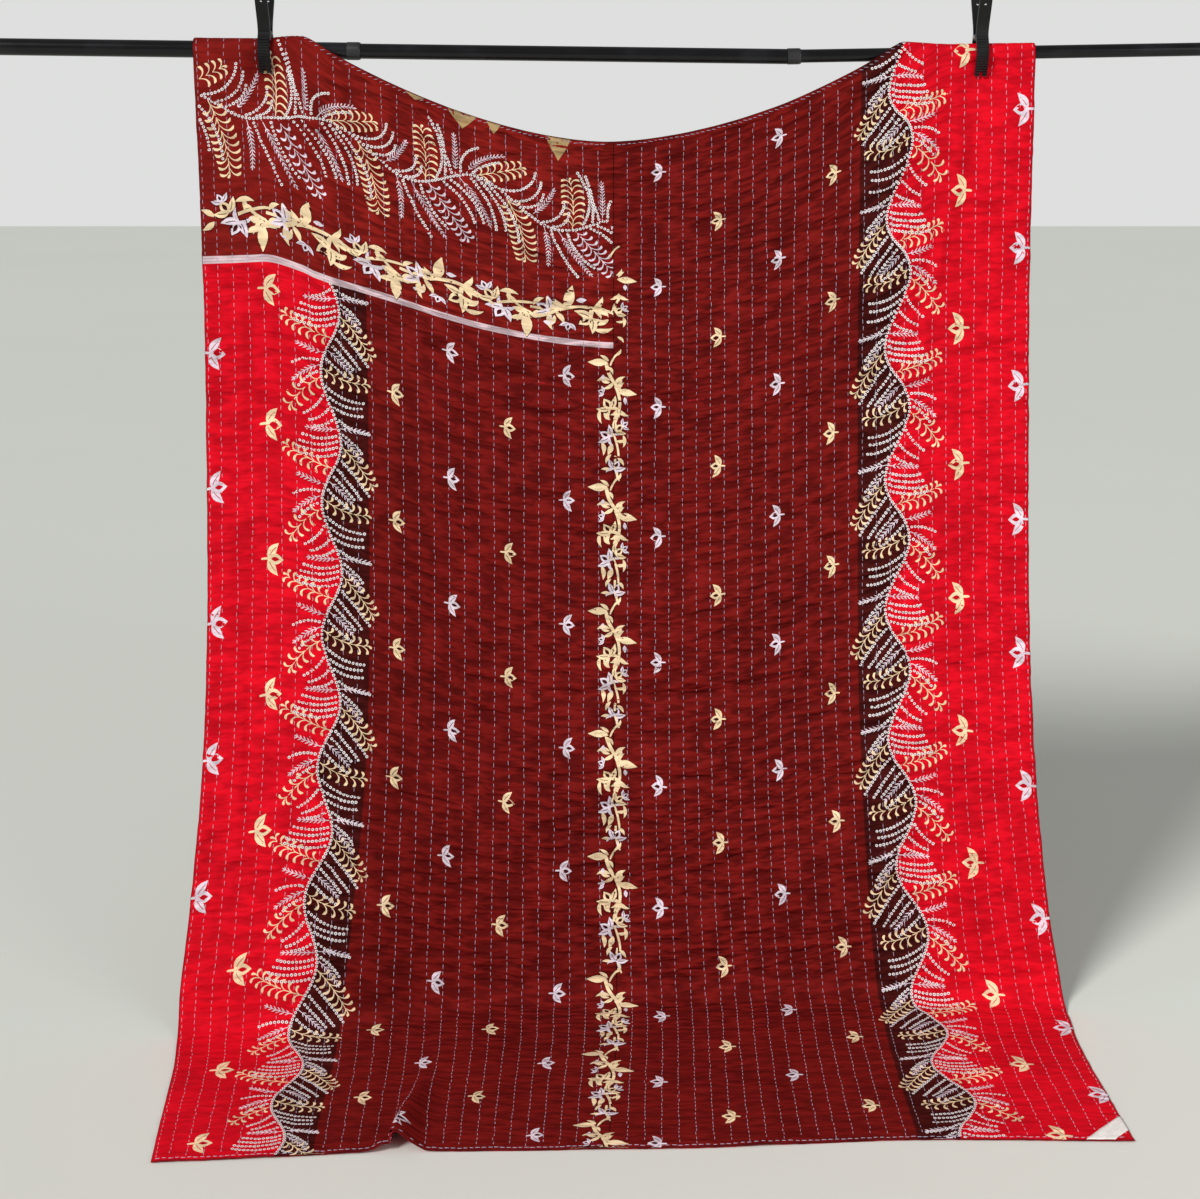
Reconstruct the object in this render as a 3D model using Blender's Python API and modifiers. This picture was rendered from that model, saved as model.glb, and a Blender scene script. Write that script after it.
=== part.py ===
"""A kantha quilt hung on a telescopic rod by two spring clamps, its lower end lying on the floor.

Metres, +Z up, the printed side of the quilt towards -Y, the floor at Z = 0. The quilt is worked out on a
drape path: a distance s along the cloth, 0 at the top of the rod, negative behind it, positive down the
front and out over the floor.
"""

import math

import bmesh
import bpy
import numpy as np
from mathutils import Matrix, Vector

# ---------------------------------------------------------------- driving dimensions
GAP = 0.0003  # between pieces that touch
ROD_Y = 0.3155  # plane of the rod, which puts the object's box in the middle of Y

# Rod: three tubes that telescope, with a slight sag at the last joint
ROD_HALF_LENGTH = 1.06
ROD_LEFT_HEIGHT = 1.6039
ROD_RIGHT_HEIGHT = 1.5999
ROD_SAG_X = 0.3035
ROD_SAG_HEIGHT = 1.5870
STEP_X = -0.417  # where the widest tube ends
TUBE_RADII = {"wide": 0.0140, "middle": 0.0125, "narrow": 0.0109}
TUBE_WALL = 0.0012
TUBE_OVERLAP = {"wide": 0.040, "middle": 0.010}  # how far the next tube reaches inside
COLLAR_LENGTH = 0.022
COLLAR_PROUD = 0.0008
CAP_THICKNESS = 0.005
CAP_PLUG_LENGTH = 0.018
ROUND_STEPS = 24

# Quilt: two printed front panels, sewn edge to edge, on a backing cloth
FLAT_LENGTH = 2.11
FLAT_LEFT = -0.705  # across, from the seam
FLAT_RIGHT = 0.765
FRONT_THICKNESS = 0.0015
BACK_THICKNESS = 0.0013
ROD_CLEARANCE = 0.0020
FLOOR_LEVEL = BACK_THICKNESS + GAP / 2  # of the cloth's middle surface where it lies
FLOOR_BEND = 0.045  # radius where the quilt turns onto the floor

# Top edge: folded back over the rod at both corners, sagging in front of it between them
SAG_CENTRE = 0.004
SAG_HALF_WIDTH = 0.500
SAG_DROP = 0.167
SAG_POWER = 1.75
FLAP_LEFT = 0.066
FLAP_RIGHT = 0.052
FLAP_TURN = 0.090  # across which the edge crosses over the rod
CROSSING_SLACK = 0.0050
SWAG_LENGTH = 0.45  # down to which the sag gathers the cloth most
SWAG_SHARE = 0.55

# Where the quilt's lines run across, by distance down the drape path
WIDTH_ROWS = (  # s, left edge, seam, right edge
    (-0.07, -0.671, 0.0220, 0.716),
    (0.60, -0.655, 0.0230, 0.717),
    (1.27, -0.664, 0.0237, 0.740),
    (1.48, -0.682, 0.0260, 0.762),
    (1.62, -0.694, 0.0290, 0.783),
    (1.76, -0.678, 0.0270, 0.779),
    (1.92, -0.666, 0.0200, 0.786),
    (2.15, -0.647, 0.0110, 0.801),
)
LEAN_ROWS = (  # x, how far the floor contact lies in front of the rod
    (-0.70, 0.250),
    (-0.45, 0.235),
    (-0.20, 0.150),
    (0.05, 0.125),
    (0.40, 0.125),
    (0.72, 0.150),
)
HEM_ROWS = (  # x, how far the front hem lies in front of the rod
    (-0.65, 0.677),
    (-0.49, 0.664),
    (-0.37, 0.652),
    (-0.06, 0.641),
    (0.15, 0.635),
    (0.45, 0.613),
    (0.80, 0.617),
)
SOFT_FOLDS = (  # u, v, half length, half width, tilt in degrees, height
    (-0.30, 0.50, 0.30, 0.050, -14, 0.006),
    (0.30, 0.42, 0.28, 0.050, 16, 0.008),
    (0.42, 0.60, 0.30, 0.060, 40, -0.007),
    (-0.10, 0.72, 0.34, 0.055, -6, 0.006),
    (0.22, 0.90, 0.36, 0.060, 12, 0.006),
    (-0.30, 1.02, 0.32, 0.060, -12, -0.006),
    (0.10, 1.22, 0.42, 0.060, 4, 0.007),
    (0.58, 1.10, 0.055, 0.45, 4, 0.008),
    (-0.56, 1.15, 0.050, 0.45, -3, 0.007),
    (-0.42, 1.42, 0.060, 0.30, 8, 0.009),
    (0.42, 1.45, 0.060, 0.28, -6, 0.008),
)

# Upright pleat that runs in from the front hem, left of the middle
PLEAT_U = -0.318
PLEAT_LENGTH = 0.30
PLEAT_HEIGHT = 0.034
PLEAT_WIDTH = 0.017
PLEAT_DRIFT = 0.10  # how far its inner end lies to the right, per metre of length
HEM_LIFT = 0.010
HEM_LIFT_U = -0.352

# Corner label, a strip across the front right corner
LABEL_THICKNESS = 0.0006
LABEL_NEAR = 0.027
LABEL_FAR = 0.069

# The grid the cloth is shaped on: start, end, cells
LEFT_COLUMNS = (
    (FLAT_LEFT, -0.597, 2),
    (-0.597, -0.569, 1),
    (-0.569, -0.465, 5),
    (-0.465, -0.370, 1),
    (-0.370, -0.270, 4),
    (-0.270, 0.0, 3),
)
RIGHT_COLUMNS = (
    (0.0, 0.42, 3),
    (0.42, 0.50, 2),
    (0.50, 0.652, 6),
    (0.652, 0.681, 1),
    (0.681, FLAT_RIGHT, 2),
)
FLAP_CELLS = 5  # from the top edge to the top of the rod
CROWDED_ROW = 0.004
TOP_ROWS = (  # s, down to where the rows run level all the way across
    (0.0, 0.0277, 3),
    (0.0277, 0.062, 3),
    (0.062, 0.10, 2),
    (0.10, 0.45, 6),
)
LOWER_ROWS = (  # share of the way from there to the hem
    (0.0, 0.635, 7),
    (0.635, 0.765, 6),
    (0.765, 1.0, 6),
)

# Spring clamps
CLAMP_X = {"left": -0.551, "right": 0.627}
PIVOT_RISE = 0.026  # pivot above the rod's axis
JAW_WIDTH = 0.020
PINCH_DEPTH = 0.033  # below the rod's axis, where the jaws hold the cloth
PINCH_HALF_GAP = 0.0031
PINCH_FLAT = 0.013
PINCH_SPREAD = 0.045
LEVER_ROWS = (  # out from the rod plane, up from the rod's axis, thickness
    (0.0100, -0.0375, 0.0026),
    (0.0099, -0.0325, 0.0042),
    (0.0152, -0.0235, 0.0052),
    (0.0212, -0.0120, 0.0058),
    (0.0242, 0.0000, 0.0060),
    (0.0228, 0.0115, 0.0060),
    (0.0172, 0.0215, 0.0060),
    (0.0132, 0.0300, 0.0060),
    (0.0160, 0.0410, 0.0058),
    (0.0262, 0.0600, 0.0056),
    (0.0372, 0.0780, 0.0052),
    (0.0428, 0.0870, 0.0034),
)
LEVER_SAMPLES = 30
CHEEK_RADIUS = 0.0052
CHEEK_THICKNESS = 0.0030
CHEEK_INNER = {"front": 0.0070, "back": 0.0037}
PIN_RADIUS = 0.0019
PIN_HEAD_RADIUS = 0.0034
PIN_HALF_LENGTH = 0.0122
PIN_HEAD_LENGTH = 0.0019
HANG_HOLE_RADIUS = 0.0026
HANG_HOLE_SHARE = 0.93  # along the lever from the jaw's tip
FORK_WIDTH = 0.0050
FORK_LENGTH = 0.0070
SPRING_WIRE = 0.0011
SPRING_RADIUS = 0.0036
SPRING_TURNS = 3
SPRING_LEG = 0.020
SPRING_LEG_ANGLE = math.radians(6)


# ---------------------------------------------------------------- scene helpers
def clear_scene():
    for obj in list(bpy.data.objects):
        bpy.data.objects.remove(obj, do_unlink=True)


def new_collection(name, hidden=False):
    collection = bpy.data.collections.new(name)
    collection.hide_render = hidden
    bpy.context.scene.collection.children.link(collection)
    return collection


def material(name, colour, roughness, metallic=0.0):
    made = bpy.data.materials.new(name)
    made.use_nodes = True
    shader = made.node_tree.nodes["Principled BSDF"]
    shader.inputs["Base Color"].default_value = (*colour, 1.0)
    shader.inputs["Roughness"].default_value = roughness
    shader.inputs["Metallic"].default_value = metallic
    made.diffuse_color = (*colour, 1.0)
    return made


def add_object(name, mesh, finish, collection, matrix=None):
    obj = bpy.data.objects.new(name, mesh)
    collection.objects.link(obj)
    if finish is not None:
        mesh.materials.clear()
        mesh.materials.append(finish)
    if matrix is not None:
        obj.matrix_world = matrix
    return obj


def shade_round(mesh, degrees=35):
    mesh.shade_smooth()
    mesh.set_sharp_from_angle(angle=math.radians(degrees))


def evaluated_mesh(obj):
    """The object's mesh with its modifiers applied and its loose caps welded."""
    graph = bpy.context.evaluated_depsgraph_get()
    graph.update()
    mesh = bpy.data.meshes.new_from_object(obj.evaluated_get(graph))
    shape = bmesh.new()
    shape.from_mesh(mesh)
    bmesh.ops.remove_doubles(shape, verts=shape.verts, dist=1e-6)
    shape.to_mesh(mesh)
    shape.free()
    return mesh


def smooth(t):
    t = np.clip(t, 0.0, 1.0)
    return t * t * (3.0 - 2.0 * t)


def along_rows(rows, at, column):
    """A smooth curve through a table's rows: its value in this column, where its first column equals at."""
    table = np.array(rows)
    x, y = table[:, 0], table[:, column]
    slope = np.gradient(y, x)
    i = np.clip(np.searchsorted(x, at) - 1, 0, len(x) - 2)
    step = x[i + 1] - x[i]
    t = np.clip((at - x[i]) / step, 0.0, 1.0)
    return (
        (2 * t**3 - 3 * t**2 + 1) * y[i]
        + (t**3 - 2 * t**2 + t) * step * slope[i]
        + (3 * t**2 - 2 * t**3) * y[i + 1]
        + (t**3 - t**2) * step * slope[i + 1]
    )


def run_of(runs):
    """The stops of a table of runs: start, end and number of cells."""
    stops = [runs[0][0]]
    for start, end, cells in runs:
        stops += list(np.linspace(start, end, cells + 1)[1:])
    return np.array(stops)


# ---------------------------------------------------------------- how the quilt hangs
def rod_height(x):
    """Height of the rod's axis."""
    return np.interp(
        x,
        (-ROD_HALF_LENGTH, ROD_SAG_X, ROD_HALF_LENGTH),
        (ROD_LEFT_HEIGHT, ROD_SAG_HEIGHT, ROD_RIGHT_HEIGHT),
    )


def top_edge(x):
    """Distance of the quilt's top edge along the drape path."""
    t = (x - SAG_CENTRE) / SAG_HALF_WIDTH
    sag = SAG_DROP * (1.0 - np.abs(t) ** SAG_POWER)
    flap = np.where(t < 0, FLAP_LEFT, FLAP_RIGHT)
    turned = -flap * smooth((np.abs(t) - 0.96) / (2 * FLAP_TURN))
    return np.where(np.abs(t) < 0.96, np.maximum(sag, 0.0), 0.0) + np.where(
        np.abs(t) < 0.96, 0.0, turned + np.maximum(sag, 0.0)
    )


def wrap_radius(x):
    """Radius of the cloth's middle surface round the rod, slacker where its edge crosses over."""
    rod = np.interp(x, (STEP_X, ROD_SAG_X), (TUBE_RADII["wide"], TUBE_RADII["narrow"]))
    t = np.abs(x - SAG_CENTRE) / SAG_HALF_WIDTH
    slack = CROSSING_SLACK * np.exp(-(((t - 1.0) / 0.08) ** 2))
    return rod + ROD_CLEARANCE + BACK_THICKNESS + GAP / 2 + slack


def drape_path(x):
    """Section of the hanging quilt at x: distance, y from the rod's plane and height."""
    radius = float(wrap_radius(x))
    rod_z = float(rod_height(x))
    lean = float(along_rows(LEAN_ROWS, np.array(x), 1))
    points = [(radius, rod_z - 0.12)]
    for angle in np.linspace(0.0, math.pi, 33):
        points.append((radius * math.cos(angle), rod_z + radius * math.sin(angle)))
    slope = lean * 1.7 / rod_z
    forward = math.atan(slope)
    bend_top = FLOOR_LEVEL + FLOOR_BEND * (1.0 - math.sin(forward))
    for z in np.linspace(rod_z, bend_top, 90)[1:]:
        q = (rod_z - z) / rod_z
        points.append((-radius - lean * (0.3 * q + 0.7 * q * q), z))
    y0, z0 = points[-1]
    for angle in np.linspace(forward, math.pi / 2, 12)[1:]:
        y = y0 - FLOOR_BEND * (math.cos(forward) - math.cos(angle))
        z = z0 - FLOOR_BEND * (math.sin(angle) - math.sin(forward))
        points.append((y, z))
    points.append((-0.85, FLOOR_LEVEL))
    section = np.array(points)
    steps = np.linalg.norm(np.diff(section, axis=0), axis=1)
    distance = np.concatenate([[0.0], np.cumsum(steps)])
    apex = 0.12 + radius * math.pi / 2
    return distance - apex, section[:, 0], section[:, 1]


def across(u, s):
    """X of the point u across the flat cloth, at distance s."""
    seam = along_rows(WIDTH_ROWS, s, 2)
    left = along_rows(WIDTH_ROWS, s, 1)
    right = along_rows(WIDTH_ROWS, s, 3)
    return np.where(u < 0, seam + (left - seam) * u / FLAT_LEFT, seam + (right - seam) * u / FLAT_RIGHT)


def fold_relief(u, v):
    """Height of the broad soft folds over the plain drape."""
    height = np.zeros_like(u)
    for at_u, at_v, half_length, half_width, tilt, rise in SOFT_FOLDS:
        turn = math.radians(tilt)
        du, dv = u - at_u, v - at_v
        along = du * math.cos(turn) - dv * math.sin(turn)
        beside = du * math.sin(turn) + dv * math.cos(turn)
        height = height + rise * np.exp(-((along / half_length) ** 2) - (beside / half_width) ** 2)
    return height


def pinch_relief(x, s, radius):
    """How far the clamps press the cloth in, under the rod on both sides."""
    quarter = radius * math.pi / 2
    below = np.abs(s) - quarter
    depth = smooth(below / PINCH_DEPTH) * (1.0 - smooth((below - 1.35 * PINCH_DEPTH) / 0.09))
    pressed = np.zeros_like(s)
    for clamp_x in CLAMP_X.values():
        beside = (np.abs(x - clamp_x) - PINCH_FLAT) / (PINCH_SPREAD - PINCH_FLAT)
        pressed = pressed + (1.0 - smooth(beside)) * depth * (radius - PINCH_HALF_GAP)
    return -pressed


def pleat_relief(u, v):
    """Height of the upright pleat at the hem and sideways lean of its crest."""
    inward = (FLAT_LENGTH - v) / PLEAT_LENGTH
    strength = 1.0 - smooth(inward)
    beside = (u - PLEAT_U - PLEAT_DRIFT * (FLAT_LENGTH - v)) / PLEAT_WIDTH
    crest = np.exp(-(beside**2))
    lip = np.exp(-(((u - HEM_LIFT_U) / 0.014) ** 2)) * smooth(1.0 - (FLAT_LENGTH - v) / 0.05)
    return PLEAT_HEIGHT * strength * crest + HEM_LIFT * lip, -0.55 * PLEAT_HEIGHT * strength * crest


def drape_of(u):
    """How the column u of the cloth hangs: its section, where it starts and ends, and v against s along it."""
    x_top = float(across(np.array(u), np.array(0.0)))
    x_hem = float(across(np.array(u), np.array(2.1)))
    distance, path_y, path_z = drape_path(x_top)
    start = float(top_edge(x_top))
    hem = float(along_rows(HEM_ROWS, np.array(x_hem), 1))
    end = float(np.interp(hem, -path_y[100:], distance[100:]))
    v = np.linspace(0.0, FLAT_LENGTH, 400)
    taken = SWAG_SHARE * np.clip(v / SWAG_LENGTH, 0, 1)
    taken = taken + (1 - SWAG_SHARE) * np.clip((v - SWAG_LENGTH) / 1.15, 0, 1)
    s = start + v - (FLAT_LENGTH - (end - start)) * taken
    return x_top, (distance, path_y, path_z), start, end, (v, s)


def quilt_rows(us):
    """V of every grid row in every column. The rows run level, and crowd together under a lower top edge."""
    runs = run_of(TOP_ROWS)
    level = runs[-1]
    lower = run_of(LOWER_ROWS)[1:]
    straight = np.concatenate([np.linspace(-FLAP_LEFT, 0.0, FLAP_CELLS + 1)[:-1], runs])
    rows = []
    for u in us:
        _, _, start, end, (v, s) = drape_of(u)
        upper = np.maximum(straight, start + CROWDED_ROW * np.arange(len(straight)))
        rows.append(np.interp(np.concatenate([upper, level + (end - level) * lower]), s, v))
    return np.array(rows).T


def quilt_surface(us, vs):
    """Middle surface of the quilt: a grid of points for the columns us and, in each, the rows vs."""
    points = np.zeros((*vs.shape, 3))
    for column, u in enumerate(us):
        x_top, (distance, path_y, path_z), _, end, (flat, hung) = drape_of(u)
        v = vs[:, column]
        s = np.interp(v, flat, hung)
        x = across(np.full_like(s, u), s)
        lies = smooth((s - end + 0.62) / 0.10)
        relief = fold_relief(np.full_like(v, u), v) * (1.0 - lies) * smooth((v - 0.15) / 0.2)
        relief = relief + pinch_relief(x, s, float(wrap_radius(x_top)))
        pleat, lean = pleat_relief(np.full_like(v, u), v)
        ty = np.interp(s + 0.002, distance, path_y) - np.interp(s - 0.002, distance, path_y)
        tz = np.interp(s + 0.002, distance, path_z) - np.interp(s - 0.002, distance, path_z)
        length = np.hypot(ty, tz)
        points[:, column, 0] = x + lean
        points[:, column, 1] = ROD_Y + np.interp(s, distance, path_y) + tz / length * (relief + pleat)
        points[:, column, 2] = np.interp(s, distance, path_z) - ty / length * (relief + pleat)
    return points


def surface_normals(points):
    """Unit normals of the grid, on the printed side."""
    down = np.gradient(points, axis=0)
    sideways = np.gradient(points, axis=1)
    normal = np.cross(down, sideways)
    return normal / np.linalg.norm(normal, axis=2, keepdims=True)


# ---------------------------------------------------------------- quilt
def cloth_sheet(name, points, thickness, faces_front, finish, collection):
    """A closed sheet that grows from this grid of points to its printed or its back side."""
    rows, columns = points.shape[:2]
    mesh = bpy.data.meshes.new(name)
    shape = bmesh.new()
    bmesh.ops.create_grid(shape, x_segments=columns - 1, y_segments=rows - 1, size=1.0)
    bmesh.ops.triangulate(shape, faces=shape.faces, quad_method="FIXED")
    for vertex in shape.verts:
        column = round((vertex.co.x + 1) / 2 * (columns - 1))
        row = round((1 - vertex.co.y) / 2 * (rows - 1))
        vertex.co = points[row, column]
    if not faces_front:
        bmesh.ops.reverse_faces(shape, faces=shape.faces)
    shape.to_mesh(mesh)
    shape.free()
    obj = add_object(name, mesh, finish, collection)
    shell = obj.modifiers.new("thickness", "SOLIDIFY")
    shell.thickness = thickness
    shell.offset = 1.0
    mesh.shade_smooth()
    return obj


def build_quilt(collection):
    us_left = run_of(LEFT_COLUMNS)
    us_right = run_of(RIGHT_COLUMNS)
    us_left[-1] = -GAP / 2
    us_right[0] = GAP / 2
    us = np.concatenate([us_left, us_right])
    middle = quilt_surface(us, quilt_rows(us))
    normal = surface_normals(middle)
    front = middle + normal * GAP / 2
    back = middle - normal * GAP / 2
    split = len(us_left)
    maroon = material("quilt maroon print", (0.22, 0.018, 0.016), 0.85)
    red = material("quilt red print", (0.55, 0.015, 0.022), 0.85)
    backing = material("backing cloth", (0.50, 0.02, 0.04), 0.85)
    cloth_sheet("left_panel", front[:, :split], FRONT_THICKNESS, True, maroon, collection)
    cloth_sheet("right_panel", front[:, split:], FRONT_THICKNESS, True, red, collection)
    kept = [i for i in range(len(us)) if i != split - 1]
    cloth_sheet("backing", back[:, kept], BACK_THICKNESS, False, backing, collection)


def build_label(collection):
    """A strip sewn across the front right corner, cut to the quilt's edges."""
    cells = 4
    points = np.zeros((2, cells + 1, 3))
    for row, reach in enumerate((LABEL_FAR, LABEL_NEAR)):
        for column, share in enumerate(np.linspace(0.0, 1.0, cells + 1)):
            inset = GAP
            u = FLAT_RIGHT - inset - reach * (1.0 - share)
            v = FLAT_LENGTH - inset - reach * share
            spot = quilt_surface(np.array([u]), np.array([[v]]))[0, 0]
            points[row, column] = spot + np.array((0.0, 0.0, FRONT_THICKNESS + 1.5 * GAP))
    white = material("label cloth", (0.86, 0.84, 0.80), 0.8)
    cloth_sheet("corner_label", points, LABEL_THICKNESS, True, white, collection)


# ---------------------------------------------------------------- rod
def turned(name, profile, closed, finish, collection, matrix):
    """A body turned round its own Z axis from a profile of (radius, height)."""
    mesh = bpy.data.meshes.new(name)
    points = [(radius, 0.0, height) for radius, height in profile]
    edges = [(i, i + 1) for i in range(len(points) - 1)]
    if closed:
        edges.append((len(points) - 1, 0))
    mesh.from_pydata(points, edges, [])
    obj = add_object(name, mesh, finish, collection, matrix)
    screw = obj.modifiers.new("turn", "SCREW")
    screw.steps = ROUND_STEPS
    screw.render_steps = ROUND_STEPS
    screw.use_merge_vertices = True
    screw.merge_threshold = 0.00001
    screw.use_smooth_shade = False
    return obj


def rod_frame(at_x, right_half):
    """Matrix at the rod's axis, its Z along this half of the rod towards +X."""
    if right_half:
        run = ROD_HALF_LENGTH - ROD_SAG_X
        rise = ROD_RIGHT_HEIGHT - ROD_SAG_HEIGHT
    else:
        run = ROD_SAG_X + ROD_HALF_LENGTH
        rise = ROD_SAG_HEIGHT - ROD_LEFT_HEIGHT
    along = Vector((run, 0.0, rise)).normalized()
    up = Vector((0.0, -1.0, 0.0))
    side = up.cross(along)
    turn = Matrix((side, up, along)).transposed().to_4x4()
    return Matrix.Translation((at_x, ROD_Y, float(rod_height(at_x)))) @ turn


def tube_profile(radius, length):
    inner = radius - TUBE_WALL
    return [(radius, length), (radius, 0.0), (inner, 0.0), (inner, length)]


def build_rod(collection):
    black = material("rod black enamel", (0.012, 0.012, 0.013), 0.28)
    plastic = material("rod black plastic", (0.015, 0.015, 0.016), 0.45)
    end_x = ROD_HALF_LENGTH - CAP_THICKNESS
    left_slope = math.hypot(1.0, (ROD_SAG_HEIGHT - ROD_LEFT_HEIGHT) / (ROD_SAG_X + ROD_HALF_LENGTH))
    right_slope = math.hypot(1.0, (ROD_RIGHT_HEIGHT - ROD_SAG_HEIGHT) / (ROD_HALF_LENGTH - ROD_SAG_X))
    middle_start = STEP_X - TUBE_OVERLAP["wide"]
    middle_end = ROD_SAG_X + TUBE_OVERLAP["middle"] / 2
    narrow_start = ROD_SAG_X - TUBE_OVERLAP["middle"] / 2
    tubes = (  # name, size, start, end, on the right half
        ("rod_tube_wide", "wide", -end_x, STEP_X, False),
        ("rod_tube_middle", "middle", middle_start, middle_end, False),
        ("rod_tube_narrow", "narrow", narrow_start, end_x, True),
    )
    for name, size, start, end, right_half in tubes:
        length = (end - start) * (right_slope if right_half else left_slope)
        profile = tube_profile(TUBE_RADII[size], length)
        turned(name, profile, True, black, collection, rod_frame(start, right_half))
    collars = (  # name, outer size, inner size, start, on the right half
        ("rod_collar_wide", "wide", "middle", STEP_X + GAP, False),
        ("rod_collar_middle", "middle", "narrow", middle_end + 2 * GAP, True),
    )
    for name, outer, inner, start, right_half in collars:
        outside = TUBE_RADII[outer] + COLLAR_PROUD
        inside = TUBE_RADII[inner] + GAP
        shoulder = outside - 0.0012
        profile = [
            (shoulder, COLLAR_LENGTH),
            (outside, COLLAR_LENGTH - 0.0030),
            (outside, 0.0),
            (inside, 0.0),
            (inside, COLLAR_LENGTH),
        ]
        turned(name, profile, True, plastic, collection, rod_frame(start, right_half))
    for name, size, sign in (("rod_cap_left", "wide", -1), ("rod_cap_right", "narrow", 1)):
        radius = TUBE_RADII[size]
        plug = radius - TUBE_WALL - GAP
        profile = [
            (0.0, CAP_THICKNESS),
            (radius - 0.0010, CAP_THICKNESS),
            (radius + 0.0006, CAP_THICKNESS - 0.0016),
            (radius + 0.0006, GAP),
            (plug, GAP),
            (plug, -CAP_PLUG_LENGTH),
            (0.0, -CAP_PLUG_LENGTH),
        ]
        place = rod_frame(sign * end_x, sign > 0)
        if sign < 0:
            place = place @ Matrix.Rotation(math.pi, 4, "Y")
        turned(name, profile, False, plastic, collection, place)


# ---------------------------------------------------------------- clamps
def lever_line():
    """Centre line of a lever and its thickness, measured out from the rod's plane and up from its axis."""
    rows = np.array(LEVER_ROWS)
    steps = np.linalg.norm(np.diff(rows[:, :2], axis=0), axis=1)
    length = np.concatenate([[0.0], np.cumsum(steps)])
    table = np.column_stack([length, rows])
    at = np.linspace(0.0, length[-1], LEVER_SAMPLES)
    return np.stack([along_rows(table, at, column) for column in (1, 2, 3)], axis=1)


def extruded(name, outline, half_width, centre, guides):
    """A flat outline in (out, up), given a width along X, as a mesh object among the guides."""
    curve = bpy.data.curves.new(name, "CURVE")
    curve.dimensions = "2D"
    curve.fill_mode = "BOTH"
    curve.extrude = half_width
    spline = curve.splines.new("POLY")
    spline.points.add(len(outline) - 1)
    for point, (out, up) in zip(spline.points, outline):
        point.co = (-out, up - PIVOT_RISE, 0.0, 1.0)
    spline.use_cyclic_u = True
    flat = bpy.data.objects.new(name, curve)
    guides.objects.link(flat)
    # The curve's X becomes Y, its Y becomes Z, and its extrusion runs along X.
    stand = Matrix(((0, 0, 1, centre), (1, 0, 0, 0), (0, 1, 0, 0), (0, 0, 0, 1)))
    mesh = evaluated_mesh(flat)
    mesh.transform(stand)
    bpy.data.objects.remove(flat)
    return guide_object(name, mesh, guides)


def guide_object(name, mesh, guides):
    obj = bpy.data.objects.new(name, mesh)
    guides.objects.link(obj)
    obj.hide_render = True
    obj.display_type = "WIRE"
    return obj


def cylinder_guide(name, radius, length, matrix, guides):
    shape = bmesh.new()
    bmesh.ops.create_cone(
        shape, cap_ends=True, segments=16, radius1=radius, radius2=radius, depth=length, matrix=matrix
    )
    mesh = bpy.data.meshes.new(name)
    shape.to_mesh(mesh)
    shape.free()
    return guide_object(name, mesh, guides)


def box_guide(name, size, centre, guides):
    shape = bmesh.new()
    bmesh.ops.create_cube(shape, size=1.0, matrix=Matrix.Translation(centre) @ Matrix.Diagonal((*size, 1.0)))
    mesh = bpy.data.meshes.new(name)
    shape.to_mesh(mesh)
    shape.free()
    return guide_object(name, mesh, guides)


def with_booleans(body, operands):
    """The body's mesh after each (operation, operand)."""
    for operation, operand in operands:
        cut = body.modifiers.new(operand.name, "BOOLEAN")
        cut.operation = operation
        cut.object = operand
    mesh = evaluated_mesh(body)
    for obj in (body, *(operand for _, operand in operands)):
        bpy.data.objects.remove(obj)
    return mesh


def lever_mesh(side, guides):
    """A clamp lever about its pivot, reaching out towards -Y: jaw, two cheeks and handle."""
    line = lever_line()
    tangent = np.gradient(line[:, :2], axis=0)
    tangent /= np.linalg.norm(tangent, axis=1, keepdims=True)
    outward = np.column_stack([tangent[:, 1], -tangent[:, 0]])
    half = line[:, 2:3] / 2
    outer = line[:, :2] + outward * half
    inner = line[:, :2] - outward * half
    outline = [tuple(p) for p in outer] + [tuple(p) for p in inner[::-1]]
    arm = extruded(f"{side} arm", outline, JAW_WIDTH / 2, 0.0, guides)
    operands = []
    for sign in (-1, 1):
        circle = [
            (CHEEK_RADIUS * math.cos(a), PIVOT_RISE + CHEEK_RADIUS * math.sin(a))
            for a in np.linspace(math.pi / 2, 3 * math.pi / 2, 9)
        ]
        web = circle + [(0.0172, 0.0205), (0.0138, 0.0312)]
        centre = sign * (CHEEK_INNER[side] + CHEEK_THICKNESS / 2)
        cheek = extruded(f"{side} cheek {sign}", web, CHEEK_THICKNESS / 2, centre, guides)
        operands.append(("UNION", cheek))
    turn_x = Matrix.Rotation(math.pi / 2, 4, "Y")
    bore = cylinder_guide(f"{side} pin bore", PIN_RADIUS + GAP, 0.06, turn_x, guides)
    hole_at = line[round(HANG_HOLE_SHARE * (LEVER_SAMPLES - 1))]
    hole_turn = Matrix.Rotation(math.pi / 2 - math.atan2(0.0187, 0.0110) + math.pi / 2, 4, "X")
    hole_place = Matrix.Translation((0.0, -hole_at[0], hole_at[1] - PIVOT_RISE)) @ hole_turn
    hole = cylinder_guide(f"{side} hang hole", HANG_HOLE_RADIUS, 0.02, hole_place, guides)
    fork_at = (0.0, -LEVER_ROWS[0][0], LEVER_ROWS[0][1] - PIVOT_RISE)
    fork = box_guide(f"{side} fork", (FORK_WIDTH, 0.02, 2 * FORK_LENGTH), fork_at, guides)
    operands += [("DIFFERENCE", bore), ("DIFFERENCE", hole), ("DIFFERENCE", fork)]
    return with_booleans(arm, operands)


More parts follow.
